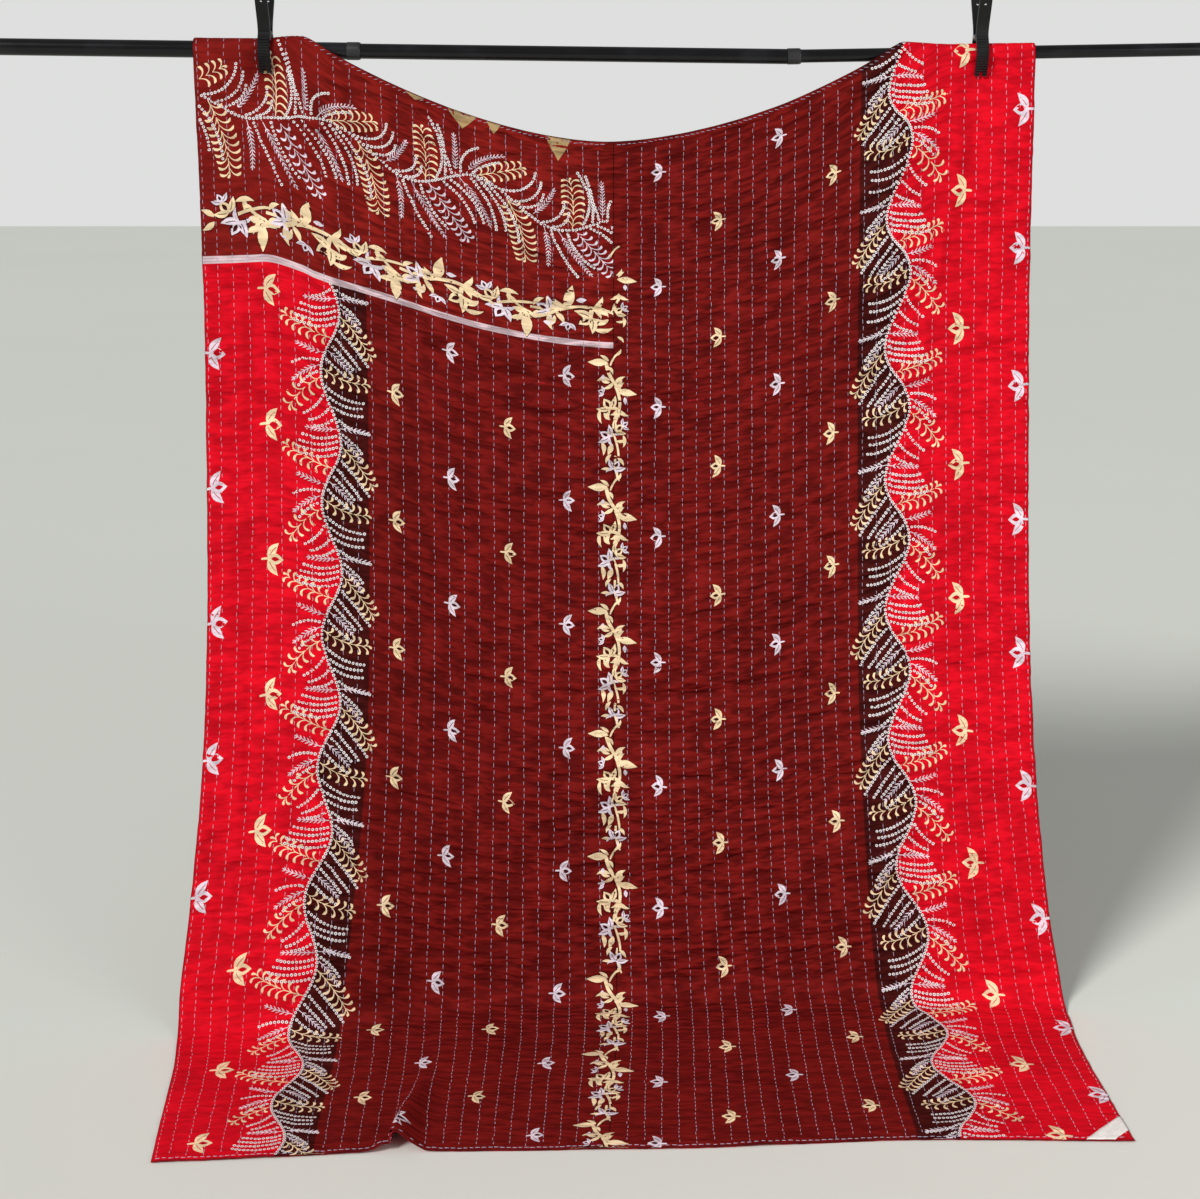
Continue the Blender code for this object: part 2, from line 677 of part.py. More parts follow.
def build_spring(name, pivot, finish, collection):
    """A torsion spring round the pin, its two legs standing between the handles."""
    curve = bpy.data.curves.new(name, "CURVE")
    curve.dimensions = "3D"
    curve.bevel_depth = SPRING_WIRE / 2
    curve.bevel_resolution = 1
    curve.use_fill_caps = True
    steps = 10
    pitch = 1.6 * SPRING_WIRE
    turns = SPRING_TURNS + 0.5
    count = round(turns * steps)
    leg = Vector((0.0, -math.sin(SPRING_LEG_ANGLE), math.cos(SPRING_LEG_ANGLE))) * SPRING_LEG
    points = []
    for i in range(count + 1):
        angle = 2 * math.pi * i / steps
        x = pitch * (i / steps - turns / 2)
        points.append(Vector((x, -SPRING_RADIUS * math.cos(angle), SPRING_RADIUS * math.sin(angle))))
    points.insert(0, points[0] + leg)
    points.append(points[-1] + Vector((0.0, -leg.y, leg.z)))
    spline = curve.splines.new("POLY")
    spline.points.add(len(points) - 1)
    for point, place in zip(spline.points, points):
        point.co = (*place, 1.0)
    obj = bpy.data.objects.new(name, curve)
    collection.objects.link(obj)
    mesh = evaluated_mesh(obj)
    bpy.data.objects.remove(obj)
    shade_round(mesh)
    add_object(name, mesh, finish, collection, Matrix.Translation(pivot))


def build_clamps(collection, guides):
    plastic = material("clamp black plastic", (0.014, 0.014, 0.015), 0.42)
    steel = material("clamp steel", (0.42, 0.42, 0.43), 0.35, 1.0)
    lever = {side: lever_mesh(side, guides) for side in ("front", "back")}
    for side, mesh in lever.items():
        mesh.name = f"clamp {side} lever"
        shade_round(mesh)
    for side, clamp_x in CLAMP_X.items():
        pivot = Vector((clamp_x, ROD_Y, float(rod_height(clamp_x)) + PIVOT_RISE))
        axis = bpy.data.objects.new(f"{side}_clamp_axis", None)
        collection.objects.link(axis)
        axis.location = pivot
        front = add_object(f"{side}_clamp_front_lever", lever["front"], plastic, collection)
        front.parent = axis
        back = add_object(f"{side}_clamp_back_lever", lever["back"], plastic, collection)
        back.parent = axis
        back.rotation_euler = (0.0, 0.0, math.pi)
        pin_profile = [
            (0.0, PIN_HALF_LENGTH),
            (PIN_HEAD_RADIUS - 0.0008, PIN_HALF_LENGTH),
            (PIN_HEAD_RADIUS, PIN_HALF_LENGTH - 0.0008),
            (PIN_HEAD_RADIUS, PIN_HALF_LENGTH - PIN_HEAD_LENGTH),
            (PIN_RADIUS, PIN_HALF_LENGTH - PIN_HEAD_LENGTH),
            (PIN_RADIUS, PIN_HEAD_LENGTH - PIN_HALF_LENGTH),
            (PIN_HEAD_RADIUS, PIN_HEAD_LENGTH - PIN_HALF_LENGTH),
            (PIN_HEAD_RADIUS, 0.0008 - PIN_HALF_LENGTH),
            (PIN_HEAD_RADIUS - 0.0008, -PIN_HALF_LENGTH),
            (0.0, -PIN_HALF_LENGTH),
        ]
        place = Matrix.Translation(pivot) @ Matrix.Rotation(math.pi / 2, 4, "Y")
        turned(f"{side}_clamp_pin", pin_profile, False, steel, collection, place)
        build_spring(f"{side}_clamp_spring", pivot, steel, collection)


# ---------------------------------------------------------------- all together
def main():
    clear_scene()
    pieces = new_collection("kantha quilt on a rod")
    guides = new_collection("cutters", hidden=True)
    build_quilt(pieces)
    build_label(pieces)
    build_rod(pieces)
    build_clamps(pieces, guides)


main()
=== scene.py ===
"""Looks of a kantha quilt that hangs on a telescopic rod from two spring clamps.

The quilt is worked out on flat cloth: u runs across from the seam, v runs down from the top edge, in metres.
"""

import math

import bmesh
import bpy
import numpy as np
from mathutils import Matrix, Vector


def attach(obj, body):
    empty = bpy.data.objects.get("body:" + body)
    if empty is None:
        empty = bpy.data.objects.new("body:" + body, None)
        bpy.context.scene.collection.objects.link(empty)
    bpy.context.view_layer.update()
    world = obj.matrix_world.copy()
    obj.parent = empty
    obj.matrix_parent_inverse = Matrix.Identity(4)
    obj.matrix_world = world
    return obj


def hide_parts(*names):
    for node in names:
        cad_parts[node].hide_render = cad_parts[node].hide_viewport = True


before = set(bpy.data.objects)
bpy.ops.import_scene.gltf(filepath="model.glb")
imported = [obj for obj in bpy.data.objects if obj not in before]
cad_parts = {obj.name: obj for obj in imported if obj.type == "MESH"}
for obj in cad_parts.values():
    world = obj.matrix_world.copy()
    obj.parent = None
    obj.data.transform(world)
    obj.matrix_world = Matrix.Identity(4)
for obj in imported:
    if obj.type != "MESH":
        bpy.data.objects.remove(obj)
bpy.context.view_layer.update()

# ---- sizes of the drape
# Single sizes are in metres, and lengths in tables of rows are in millimetres.
GAP = 0.0003
ROD_Y = 0.3155
ROD_HALF_LENGTH = 1.06
ROD_LEFT_HEIGHT = 1.6039
ROD_RIGHT_HEIGHT = 1.5999
ROD_SAG_X = 0.3035
ROD_SAG_HEIGHT = 1.5870
STEP_X = -0.417
CAP_WALL = 0.0050
TUBE_WALL = 0.0012
TUBE_LIP = 0.0004
TUBE_RADII = {"wide": 0.0140, "middle": 0.0125, "narrow": 0.0109}
FLAT_LENGTH = 2.11
FLAT_LEFT = -0.705
FLAT_RIGHT = 0.765
FRONT_THICKNESS = 0.0015
BACK_THICKNESS = 0.0013
ROD_CLEARANCE = 0.0020
FLOOR_LEVEL = BACK_THICKNESS + GAP / 2
FLOOR_BEND = 0.045
SAG_CENTRE = 0.004
SAG_HALF_WIDTH = 0.500
SAG_DROP = 0.167
SAG_POWER = 1.75
FLAP_LEFT = 0.066
FLAP_RIGHT = 0.052
FLAP_TURN = 0.090
TURN_START = 0.96  # share of the sag's half width where the top edge begins to turn back
TAIL_BEHIND = 0.12  # of the drape path, behind the rod
FLOOR_REACH_Y = 0.85  # of the drape path, in front of the rod
FLOOR_RUN = 0.62  # length at the hem end that lies down
CROSSING_SLACK = 0.0050
SWAG_LENGTH = 0.45
SWAG_SHARE = 0.55
WIDTH_ROWS = (  # s, left edge, seam, right edge
    (-70, -671, 22, 716), (600, -655, 23, 717), (1270, -664, 23.7, 740), (1480, -682, 26, 762),
    (1620, -694, 29, 783), (1760, -678, 27, 779), (1920, -666, 20, 786), (2150, -647, 11, 801),
)
LEAN_ROWS = (  # x, how far the floor contact lies in front of the rod
    (-700, 250), (-450, 235), (-200, 150), (50, 125), (400, 125), (720, 150),
)
HEM_ROWS = (  # x, how far the front hem lies in front of the rod
    (-650, 677), (-490, 664), (-370, 652), (-60, 641), (150, 635), (450, 613), (800, 617),
)
SOFT_FOLDS = (  # tilt in degrees, u, v, half length, half width, height
    (-14, -300, 500, 300, 50, 6), (16, 300, 420, 280, 50, 8), (40, 420, 600, 300, 60, -7),
    (-6, -100, 720, 340, 55, 6), (12, 220, 900, 360, 60, 6), (-12, -300, 1020, 320, 60, -6),
    (4, 100, 1220, 420, 60, 7), (4, 580, 1100, 55, 450, 8), (-3, -560, 1150, 50, 450, 7),
    (8, -420, 1420, 60, 300, 9), (-6, 420, 1450, 60, 280, 8),
)
CREASES = (  # tilt in degrees, u, v, half length, half width, height
    (6, -110, 563, 80, 9, -3.4), (0, 104, 541, 65, 9, -3.6), (6, -111, 720, 80, 8, -3.2),
    (-3, 85, 725, 85, 9, -3.4), (0, 85, 1071, 440, 10, -3.6), (4, -120, 1222, 90, 9, -3.4),
    (-2, 84, 1217, 80, 8, -3), (0, -60, 1420, 60, 8, -2.8), (-2, -350, 1590, 140, 11, -3.6),
    (2, 355, 1582, 190, 10, -3.2), (-6, -250, 462, 240, 18, 4), (-5, -180, 505, 200, 12, -3.4),
    (64, 287, 270, 130, 18, 5), (29, 315, 400, 110, 13, -4.4), (80, 606, 334, 235, 11, 4),
    (78, 585, 400, 135, 9, -3.4), (84, 655, 230, 120, 10, -3), (-87, -626, 1250, 150, 8, -3.4),
    (83, 233, 948, 170, 12, 3), (-55, -260, 782, 85, 10, 2.8), (-59, -145, 1325, 110, 12, 3),
    (74, -560, 330, 150, 14, 3.4), (88, -640, 620, 120, 10, 2.6), (10, 700, 820, 60, 8, -2.6),
    (6, 690, 560, 70, 8, -2.6), (8, 360, 840, 90, 9, -3), (-4, -340, 905, 110, 9, -3),
)
PLEAT_U = -0.318
PLEAT_LENGTH = 0.30
PLEAT_HEIGHT = 0.034
PLEAT_WIDTH = 0.017
PLEAT_DRIFT = 0.10
HEM_LIFT = 0.010
HEM_LIFT_U = -0.352
CLAMP_X = {"left": -0.551, "right": 0.627}
PINCH_DEPTH = 0.033
PINCH_HALF_GAP = 0.0031
PINCH_FLAT = 0.013
PINCH_SPREAD = 0.045

# ---- sizes of the sewing and the print
LEFT_LINES = 27  # spaces between the lines of running stitch
RIGHT_LINES = 30
CELLS_PER_SPACE = 3
ROW_STEP = 0.0060
BACKING_ROW_STEP = 0.0105
EDGE_ROLL = 0.0040  # how far in from an edge the cloth turns under
SEAM_ROLL = 0.0018
VALLEY_DEPTH = 0.0014  # of the puckers, along the stitch lines
RIDGE_HEIGHT = 0.0024
DRAWN_HEIGHT = 0.0005  # between one stitch and the next
SWELL_HEIGHT = 0.0034
STITCH_PITCH = 0.0119
STITCH_LENGTH = 0.0068
STITCH_WIDTH = 0.0011
STITCH_HEIGHT = 0.0010
EDGE_LINE = 0.0060  # of the stitches that run round the quilt
REPEAT = 0.2257  # of the print, down the cloth
LEFT_WAVE = {"u": -0.489, "swing": 0.0165, "crest": 0.598, "side": -1, "zone": -0.425, "drift": -0.034}
RIGHT_WAVE = {"u": 0.522, "swing": 0.0220, "crest": 0.188, "side": 1, "zone": 0.450, "drift": 0.012}
DRIFT_START = 1.15  # v from where the print wanders aside
END_BAND = 0.430  # depth of the printed end band on the left panel
END_STRIPE = 0.0066  # half width of its pale stripe
LABEL_NEAR = 0.027  # from the corner along both edges, to the label's two long sides
LABEL_FAR = 0.069
LABEL_INSET = 0.0012
LABEL_THICKNESS = 0.0006
DOT_PITCH = 0.0063
DOT_RADIUS = 0.0027
PRINT_RISE = 0.00030
PRINT_DEPTH = 0.0006
PRINT_LEVEL = 0.00018  # how far each level of a print lies over the last


# ---- plain sums
def smooth(t):
    t = np.clip(t, 0.0, 1.0)
    return t * t * (3.0 - 2.0 * t)


def along_rows(rows, at, column):
    """A smooth curve through a table's rows: its value in this column, where its first column equals at."""
    table = np.array(rows) / 1000
    x, y = table[:, 0], table[:, column]
    slope = np.gradient(y, x)
    i = np.clip(np.searchsorted(x, at) - 1, 0, len(x) - 2)
    step = x[i + 1] - x[i]
    t = np.clip((at - x[i]) / step, 0.0, 1.0)
    return (
        (2 * t**3 - 3 * t**2 + 1) * y[i]
        + (t**3 - 2 * t**2 + t) * step * slope[i]
        + (3 * t**2 - 2 * t**3) * y[i + 1]
        + (t**3 - t**2) * step * slope[i + 1]
    )


def wander(x, y, seed):
    """Smooth random values from -1 to 1, one per unit cell."""
    table = np.random.default_rng(seed).uniform(-1.0, 1.0, (512, 512))
    xi, yi = np.floor(x).astype(int), np.floor(y).astype(int)
    tx, ty = smooth(x - xi), smooth(y - yi)
    near = table[xi % 512, yi % 512] * (1 - tx) + table[(xi + 1) % 512, yi % 512] * tx
    far = table[xi % 512, (yi + 1) % 512] * (1 - tx) + table[(xi + 1) % 512, (yi + 1) % 512] * tx
    return near * (1 - ty) + far * ty


# ---- how the quilt hangs
def rod_height(x):
    return np.interp(
        x,
        (-ROD_HALF_LENGTH, ROD_SAG_X, ROD_HALF_LENGTH),
        (ROD_LEFT_HEIGHT, ROD_SAG_HEIGHT, ROD_RIGHT_HEIGHT),
    )


def top_edge(x):
    """Where the top edge lies along the drape path: before the rod in the middle, turned back beyond."""
    t = np.abs(x - SAG_CENTRE) / SAG_HALF_WIDTH
    sag = np.maximum(SAG_DROP * (1.0 - t**SAG_POWER), 0.0)
    flap = np.where(x < SAG_CENTRE, FLAP_LEFT, FLAP_RIGHT)
    return sag - np.where(t < TURN_START, 0.0, flap * smooth((t - TURN_START) / (2 * FLAP_TURN)))


def wrap_radius(x):
    rod = np.interp(x, (STEP_X, ROD_SAG_X), (TUBE_RADII["wide"], TUBE_RADII["narrow"]))
    t = np.abs(x - SAG_CENTRE) / SAG_HALF_WIDTH
    slack = CROSSING_SLACK * np.exp(-(((t - 1.0) / 0.08) ** 2))
    return rod + ROD_CLEARANCE + BACK_THICKNESS + GAP / 2 + slack


def drape_path(x):
    """Section of the hanging quilt at x: distance, y from the rod's plane and height."""
    radius = float(wrap_radius(x))
    rod_z = float(rod_height(x))
    lean = float(along_rows(LEAN_ROWS, np.array(x), 1))
    points = [(radius, rod_z - TAIL_BEHIND)]
    for angle in np.linspace(0.0, math.pi, 33):
        points.append((radius * math.cos(angle), rod_z + radius * math.sin(angle)))
    slope = lean * 1.7 / rod_z
    forward = math.atan(slope)
    bend_top = FLOOR_LEVEL + FLOOR_BEND * (1.0 - math.sin(forward))
    for z in np.linspace(rod_z, bend_top, 90)[1:]:
        q = (rod_z - z) / rod_z
        points.append((-radius - lean * (0.3 * q + 0.7 * q * q), z))
    y0, z0 = points[-1]
    for angle in np.linspace(forward, math.pi / 2, 12)[1:]:
        y = y0 - FLOOR_BEND * (math.cos(forward) - math.cos(angle))
        z = z0 - FLOOR_BEND * (math.sin(angle) - math.sin(forward))
        points.append((y, z))
    points.append((-FLOOR_REACH_Y, FLOOR_LEVEL))
    section = np.array(points)
    steps = np.linalg.norm(np.diff(section, axis=0), axis=1)
    distance = np.concatenate([[0.0], np.cumsum(steps)])
    apex = TAIL_BEHIND + radius * math.pi / 2
    return distance - apex, section[:, 0], section[:, 1]


def across(u, s):
    seam = along_rows(WIDTH_ROWS, s, 2)
    left = along_rows(WIDTH_ROWS, s, 1)
    right = along_rows(WIDTH_ROWS, s, 3)
    return np.where(u < 0, seam + (left - seam) * u / FLAT_LEFT, seam + (right - seam) * u / FLAT_RIGHT)


def fold_relief(rows, u, v):
    """Height of the folds in a table."""
    height = np.zeros_like(u)
    for tilt, *sizes in rows:
        at_u, at_v, half_length, half_width, rise = np.array(sizes) / 1000
        turn = math.radians(tilt)
        du, dv = u - at_u, v - at_v
        along = du * math.cos(turn) - dv * math.sin(turn)
        beside = du * math.sin(turn) + dv * math.cos(turn)
        height = height + rise * np.exp(-((along / half_length) ** 2) - (beside / half_width) ** 2)
    return height


def pinch_relief(x, s, radius):
    quarter = radius * math.pi / 2
    below = np.abs(s) - quarter
    depth = smooth(below / PINCH_DEPTH) * (1.0 - smooth((below - 1.35 * PINCH_DEPTH) / 0.09))
    pressed = np.zeros_like(s)
    for clamp_x in CLAMP_X.values():
        beside = (np.abs(x - clamp_x) - PINCH_FLAT) / (PINCH_SPREAD - PINCH_FLAT)
        pressed = pressed + (1.0 - smooth(beside)) * depth * (radius - PINCH_HALF_GAP)
    return -pressed


def pleat_relief(u, v):
    inward = (FLAT_LENGTH - v) / PLEAT_LENGTH
    strength = 1.0 - smooth(inward)
    beside = (u - PLEAT_U - PLEAT_DRIFT * (FLAT_LENGTH - v)) / PLEAT_WIDTH
    crest = np.exp(-(beside**2))
    lip = np.exp(-(((u - HEM_LIFT_U) / 0.014) ** 2)) * smooth(1.0 - (FLAT_LENGTH - v) / 0.05)
    return PLEAT_HEIGHT * strength * crest + HEM_LIFT * lip, -0.55 * PLEAT_HEIGHT * strength * crest


def line_spacing(u):
    """Space between the stitch lines on this side of the seam."""
    return np.where(u < 0, -FLAT_LEFT / LEFT_LINES, FLAT_RIGHT / RIGHT_LINES)


def puckers(u, v):
    """Fine relief that the running stitches draw up."""
    spacing = line_spacing(u)
    from_line = np.abs(u / spacing - np.round(u / spacing)) * spacing
    valley = -VALLEY_DEPTH * np.exp(-((from_line / 0.0045) ** 2))
    ridges = RIDGE_HEIGHT * wander(u / 0.045 + 7.0, v / 0.0125 + 0.9 * wander(u / 0.12, v / 0.2, 6), 3)
    drawn = DRAWN_HEIGHT * np.cos(2 * math.pi * (v / STITCH_PITCH + 1.6 * wander(u / 0.05, v / 0.12, 5)))
    swells = SWELL_HEIGHT * wander(u / 0.11, v / 0.034, 4)
    return valley + ridges + drawn + swells


def drape_of(u):
    """How the column u of the cloth hangs: its section, its end and v against s along it."""
    x_top = float(across(np.array(u), np.array(0.0)))
    x_hem = float(across(np.array(u), np.array(2.1)))
    distance, path_y, path_z = drape_path(x_top)
    start = float(top_edge(x_top))
    hem = float(along_rows(HEM_ROWS, np.array(x_hem), 1))
    end = float(np.interp(hem, -path_y[100:], distance[100:]))
    v = np.linspace(0.0, FLAT_LENGTH, 400)
    taken = SWAG_SHARE * np.clip(v / SWAG_LENGTH, 0, 1)
    taken = taken + (1 - SWAG_SHARE) * np.clip((v - SWAG_LENGTH) / 1.15, 0, 1)
    s = start + v - (FLAT_LENGTH - (end - start)) * taken
    return x_top, (distance, path_y, path_z), end, (v, s)


def hung(us, vs):
    """Middle surface of the quilt, a grid of points for the columns us and the rows vs."""
    points = np.zeros((len(vs), len(us), 3))
    for column, u in enumerate(us):
        x_top, (distance, path_y, path_z), end, (flat, along) = drape_of(u)
        s = np.interp(vs, flat, along)
        flat_u = np.full_like(s, u)
        x = across(flat_u, s)
        lies = smooth((s - end + FLOOR_RUN) / 0.10)
        relief = fold_relief(SOFT_FOLDS, flat_u, vs) * (1.0 - lies) * smooth((vs - 0.15) / 0.2)
        pinch = pinch_relief(x, s, float(wrap_radius(x_top)))
        free = smooth((s - 0.02) / 0.10) * (1.0 - smooth(-pinch / 0.004))
        fine = 2.0 * fold_relief(CREASES, flat_u, vs) * (1.0 - 0.7 * lies) + puckers(flat_u, vs)
        fine = fine * (0.12 + 0.88 * free)
        fine = fine * (1.0 - lies) + np.maximum(0.35 * fine + 0.0014, 0.0) * lies
        pleat, lean = pleat_relief(flat_u, vs)
        height = relief + pinch + fine + pleat
        ty = np.interp(s + 0.002, distance, path_y) - np.interp(s - 0.002, distance, path_y)
        tz = np.interp(s + 0.002, distance, path_z) - np.interp(s - 0.002, distance, path_z)
        length = np.hypot(ty, tz)
        points[:, column, 0] = x + lean
        points[:, column, 1] = ROD_Y + np.interp(s, distance, path_y) + tz / length * height
        points[:, column, 2] = np.interp(s, distance, path_z) - ty / length * height
    return points


def facing(points):
    """Unit normals of a grid, on the printed side."""
    normal = np.cross(np.gradient(points, axis=0), np.gradient(points, axis=1))
    return normal / np.linalg.norm(normal, axis=2, keepdims=True)


def with_edge_rows(stops, roll):
    """Stops with two more close to each end, where the edge rolls over."""
    start, end = stops[0], stops[-1]
    near = [start, start + 0.25 * roll, start + 0.6 * roll]
    far = [end - 0.6 * roll, end - 0.25 * roll, end]
    inner = [stop for stop in stops[1:-1] if start + roll <= stop <= end - roll]
    return np.array(near + inner + far)


def edge_distance(us, vs):
    """How far each point of a grid lies from the quilt's own edges."""
    to_side = np.minimum(us - FLAT_LEFT, FLAT_RIGHT - us)[None, :]
    to_end = np.minimum(vs, FLAT_LENGTH - vs)[:, None]
    return np.minimum(to_side, to_end)


def rolled(distance, roll):
    """Share of the cloth's thickness left at this distance from a turned edge."""
    t = np.clip(distance / roll, 0.0, 1.0)
    return 0.12 + 0.88 * np.sqrt(1.0 - (1.0 - t) ** 2)


class Cloth:
    """One layer on its grid of flat coordinates, and the place of any flat point on its outer face."""

    def __init__(self, us, vs, outer, inner, normal, side):
        self.us, self.vs, self.outer, self.inner = us, vs, outer, inner
        self.normal, self.side = normal, side

    def at(self, u, v, rise=0.0):
        """Points on the outer face at flat (u, v), raised by rise, and the directions there."""
        u, v = np.asarray(u, float), np.asarray(v, float)
        i = np.clip(np.searchsorted(self.us, u) - 1, 0, len(self.us) - 2)
        j = np.clip(np.searchsorted(self.vs, v) - 1, 0, len(self.vs) - 2)
        tu = np.clip((u - self.us[i]) / (self.us[i + 1] - self.us[i]), 0, 1)[..., None]
        tv = np.clip((v - self.vs[j]) / (self.vs[j + 1] - self.vs[j]), 0, 1)[..., None]

        def blend(grid):
            top = grid[j, i] * (1 - tu) + grid[j, i + 1] * tu
            low = grid[j + 1, i] * (1 - tu) + grid[j + 1, i + 1] * tu
            return top * (1 - tv) + low * tv

        normal = blend(self.normal) * self.side
        normal = normal / np.linalg.norm(normal, axis=-1, keepdims=True)
        down = blend(np.gradient(self.outer, self.vs, axis=0))
        return blend(self.outer) + normal * np.asarray(rise)[..., None], normal, down

    def mesh(self, name):
        """The layer as a closed sheet with its flat coordinates as a UV map."""
        rows, columns = self.outer.shape[:2]
        index = np.arange(rows * columns).reshape(rows, columns)
        shift = rows * columns
        a, b, c, d = index[:-1, :-1], index[:-1, 1:], index[1:, 1:], index[1:, :-1]
        outside = np.stack([a, d, c, b], axis=-1).reshape(-1, 4)
        inside = np.stack([a, b, c, d], axis=-1).reshape(-1, 4) + shift
        ring = np.concatenate([index[0, :-1], index[:-1, -1], index[-1, :0:-1], index[:0:-1, 0]])
        after = np.roll(ring, -1)
        faces = np.concatenate([outside, inside, np.stack([ring, after, after + shift, ring + shift], axis=-1)])
        points = np.concatenate([self.outer.reshape(-1, 3), self.inner.reshape(-1, 3)])
        flat = np.stack(np.meshgrid(self.us, self.vs), axis=-1).reshape(-1, 2)
        if self.side < 0:
            faces = faces[:, ::-1]
        return plain_mesh(name, points, faces, np.concatenate([flat, flat]))


def layer(us, vs, thickness, printed):
    """A layer of the quilt, on the printed side of its middle or behind it."""
    middle = hung(us, vs)
    normal = facing(middle)
    body = rolled(edge_distance(us, vs), EDGE_ROLL)
    if printed:
        body = body * rolled(np.abs(us), SEAM_ROLL)[None, :]
    side = 1.0 if printed else -1.0
    wave = 1.0 + 0.25 * wander(us[None, :] / 0.011, vs[:, None] / 0.011, 11)
    outer = GAP / 2 + thickness * body * np.where(body < 0.98, wave, 1.0)
    return Cloth(
        us, vs, middle + normal * side * outer[..., None], middle + normal * side * GAP / 2, normal, side
    )


def joined(left, right):
    """Both front layers as one, for print that crosses the seam."""
    us = np.concatenate([left.us, right.us])
    outer = np.concatenate([left.outer, right.outer], axis=1)
    return Cloth(us, left.vs, outer, None, np.concatenate([left.normal, right.normal], axis=1), left.side)


def plain_mesh(name, points, faces, flat=None):
    """A mesh from arrays of points and quads, smooth, with a UV map where flat coordinates are given."""
    mesh = bpy.data.meshes.new(name)
    mesh.vertices.add(len(points))
    mesh.vertices.foreach_set("co", np.asarray(points, np.float32).ravel())
    mesh.loops.add(faces.size)
    mesh.loops.foreach_set("vertex_index", faces.astype(np.int32).ravel())
    mesh.polygons.add(len(faces))
    mesh.polygons.foreach_set("loop_start", np.arange(len(faces), dtype=np.int32) * faces.shape[1])
    if flat is not None:
        uv = mesh.uv_layers.new(name="flat")
        uv.data.foreach_set("uv", flat[faces.ravel()].astype(np.float32).ravel())
    mesh.update(calc_edges=True)
    mesh.validate()
    mesh.shade_smooth()
    return mesh


def linked(name, data):
    obj = bpy.data.objects.new(name, data)
    bpy.context.scene.collection.objects.link(obj)
    return obj


def piece(name, mesh, finishes=(), body="hung_quilt", stands_for=None):
    obj = linked(name, mesh)
    for finish in finishes:
        mesh.materials.append(finish)
    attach(obj, body)
    if stands_for:
        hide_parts(stands_for)
    return obj


# ---- shader helpers
def new_material(name, roughness, specular=0.3, sheen=0.0, metallic=0.0):
    made = bpy.data.materials.new(name)
    made.use_nodes = True
    shader = made.node_tree.nodes["Principled BSDF"].inputs
    shader["Roughness"].default_value = roughness
    shader["Specular IOR Level"].default_value = specular
    shader["Sheen Weight"].default_value = sheen
    shader["Metallic"].default_value = metallic
    return made, Nodes(made.node_tree), shader


class Nodes:
    """Short ways to place nodes in a tree."""

    def __init__(self, tree):
        self.tree = tree

    def add(self, kind, **given):
        """A node: names in small letters are its settings, names with a capital are its sockets."""
        node = self.tree.nodes.new(kind)
        for key, value in given.items():
            if key[0].islower():
                setattr(node, key, value)
        for key, value in given.items():
            if key[0].isupper():
                self.put(node.inputs[key.replace("_", " ")], value)
        return node

    def put(self, socket, value):
        if isinstance(value, bpy.types.NodeSocket):
            self.tree.links.new(value, socket)
        else:
            socket.default_value = value

    def math(self, operation, a, b=0.0, c=0.0):
        node = self.add("ShaderNodeMath", operation=operation)
        for socket, value in zip(node.inputs, (a, b, c)):
            self.put(socket, value)
        return node.outputs[0]

    def times(self, a, b, c=0.0):
        """a * b + c"""
        return self.math("MULTIPLY_ADD", a, b, c)

    def less(self, a, b):
        return self.math("SUBTRACT", a, b)

    def mix(self, share, a, b, **way):
        return self.add("ShaderNodeMix", data_type="RGBA", Factor=share, A=a, B=b, **way).outputs["Result"]

    def step(self, value, low, high, at_low=0.0, at_high=1.0):
        sockets = {"Value": value, "From_Min": low, "From_Max": high, "To_Min": at_low, "To_Max": at_high}
        return self.add("ShaderNodeMapRange", interpolation_type="SMOOTHSTEP", **sockets).outputs["Result"]

    def noise(self, vector, scale, detail=2.0, roughness=0.5):
        """Noise at one scale, or at a scale for each direction."""
        if not isinstance(scale, float):
            vector, scale = self.add("ShaderNodeMapping", Vector=vector, Scale=scale).outputs["Vector"], 1.0
        sockets = {"Vector": vector, "Scale": scale, "Detail": detail, "Roughness": roughness}
        return self.add("ShaderNodeTexNoise", **sockets).outputs["Fac"]

    def parts(self, vector):
        return self.add("ShaderNodeSeparateXYZ", Vector=vector).outputs

    def place(self):
        return self.add("ShaderNodeTexCoord").outputs["Object"]

    def bump(self, height, strength=1.0, distance=1.0, **under):
        node = self.add("ShaderNodeBump", Strength=strength, Distance=distance, Height=height, **under)
        return node.outputs["Normal"]


def new_tree(name, kind, inputs, outputs):
    """A node group, its sockets given as label, kind and value; with what it is given and what it makes."""
    tree = bpy.data.node_groups.new(name, kind)
    for way, sockets in (("INPUT", inputs), ("OUTPUT", outputs)):
        for label, socket_kind, *value in sockets:
            socket = tree.interface.new_socket(label, in_out=way, socket_type="NodeSocket" + socket_kind)
            if value:
                socket.default_value = value[0]
    return tree, Nodes(tree), tree.nodes.new("NodeGroupInput").outputs, tree.nodes.new("NodeGroupOutput").inputs


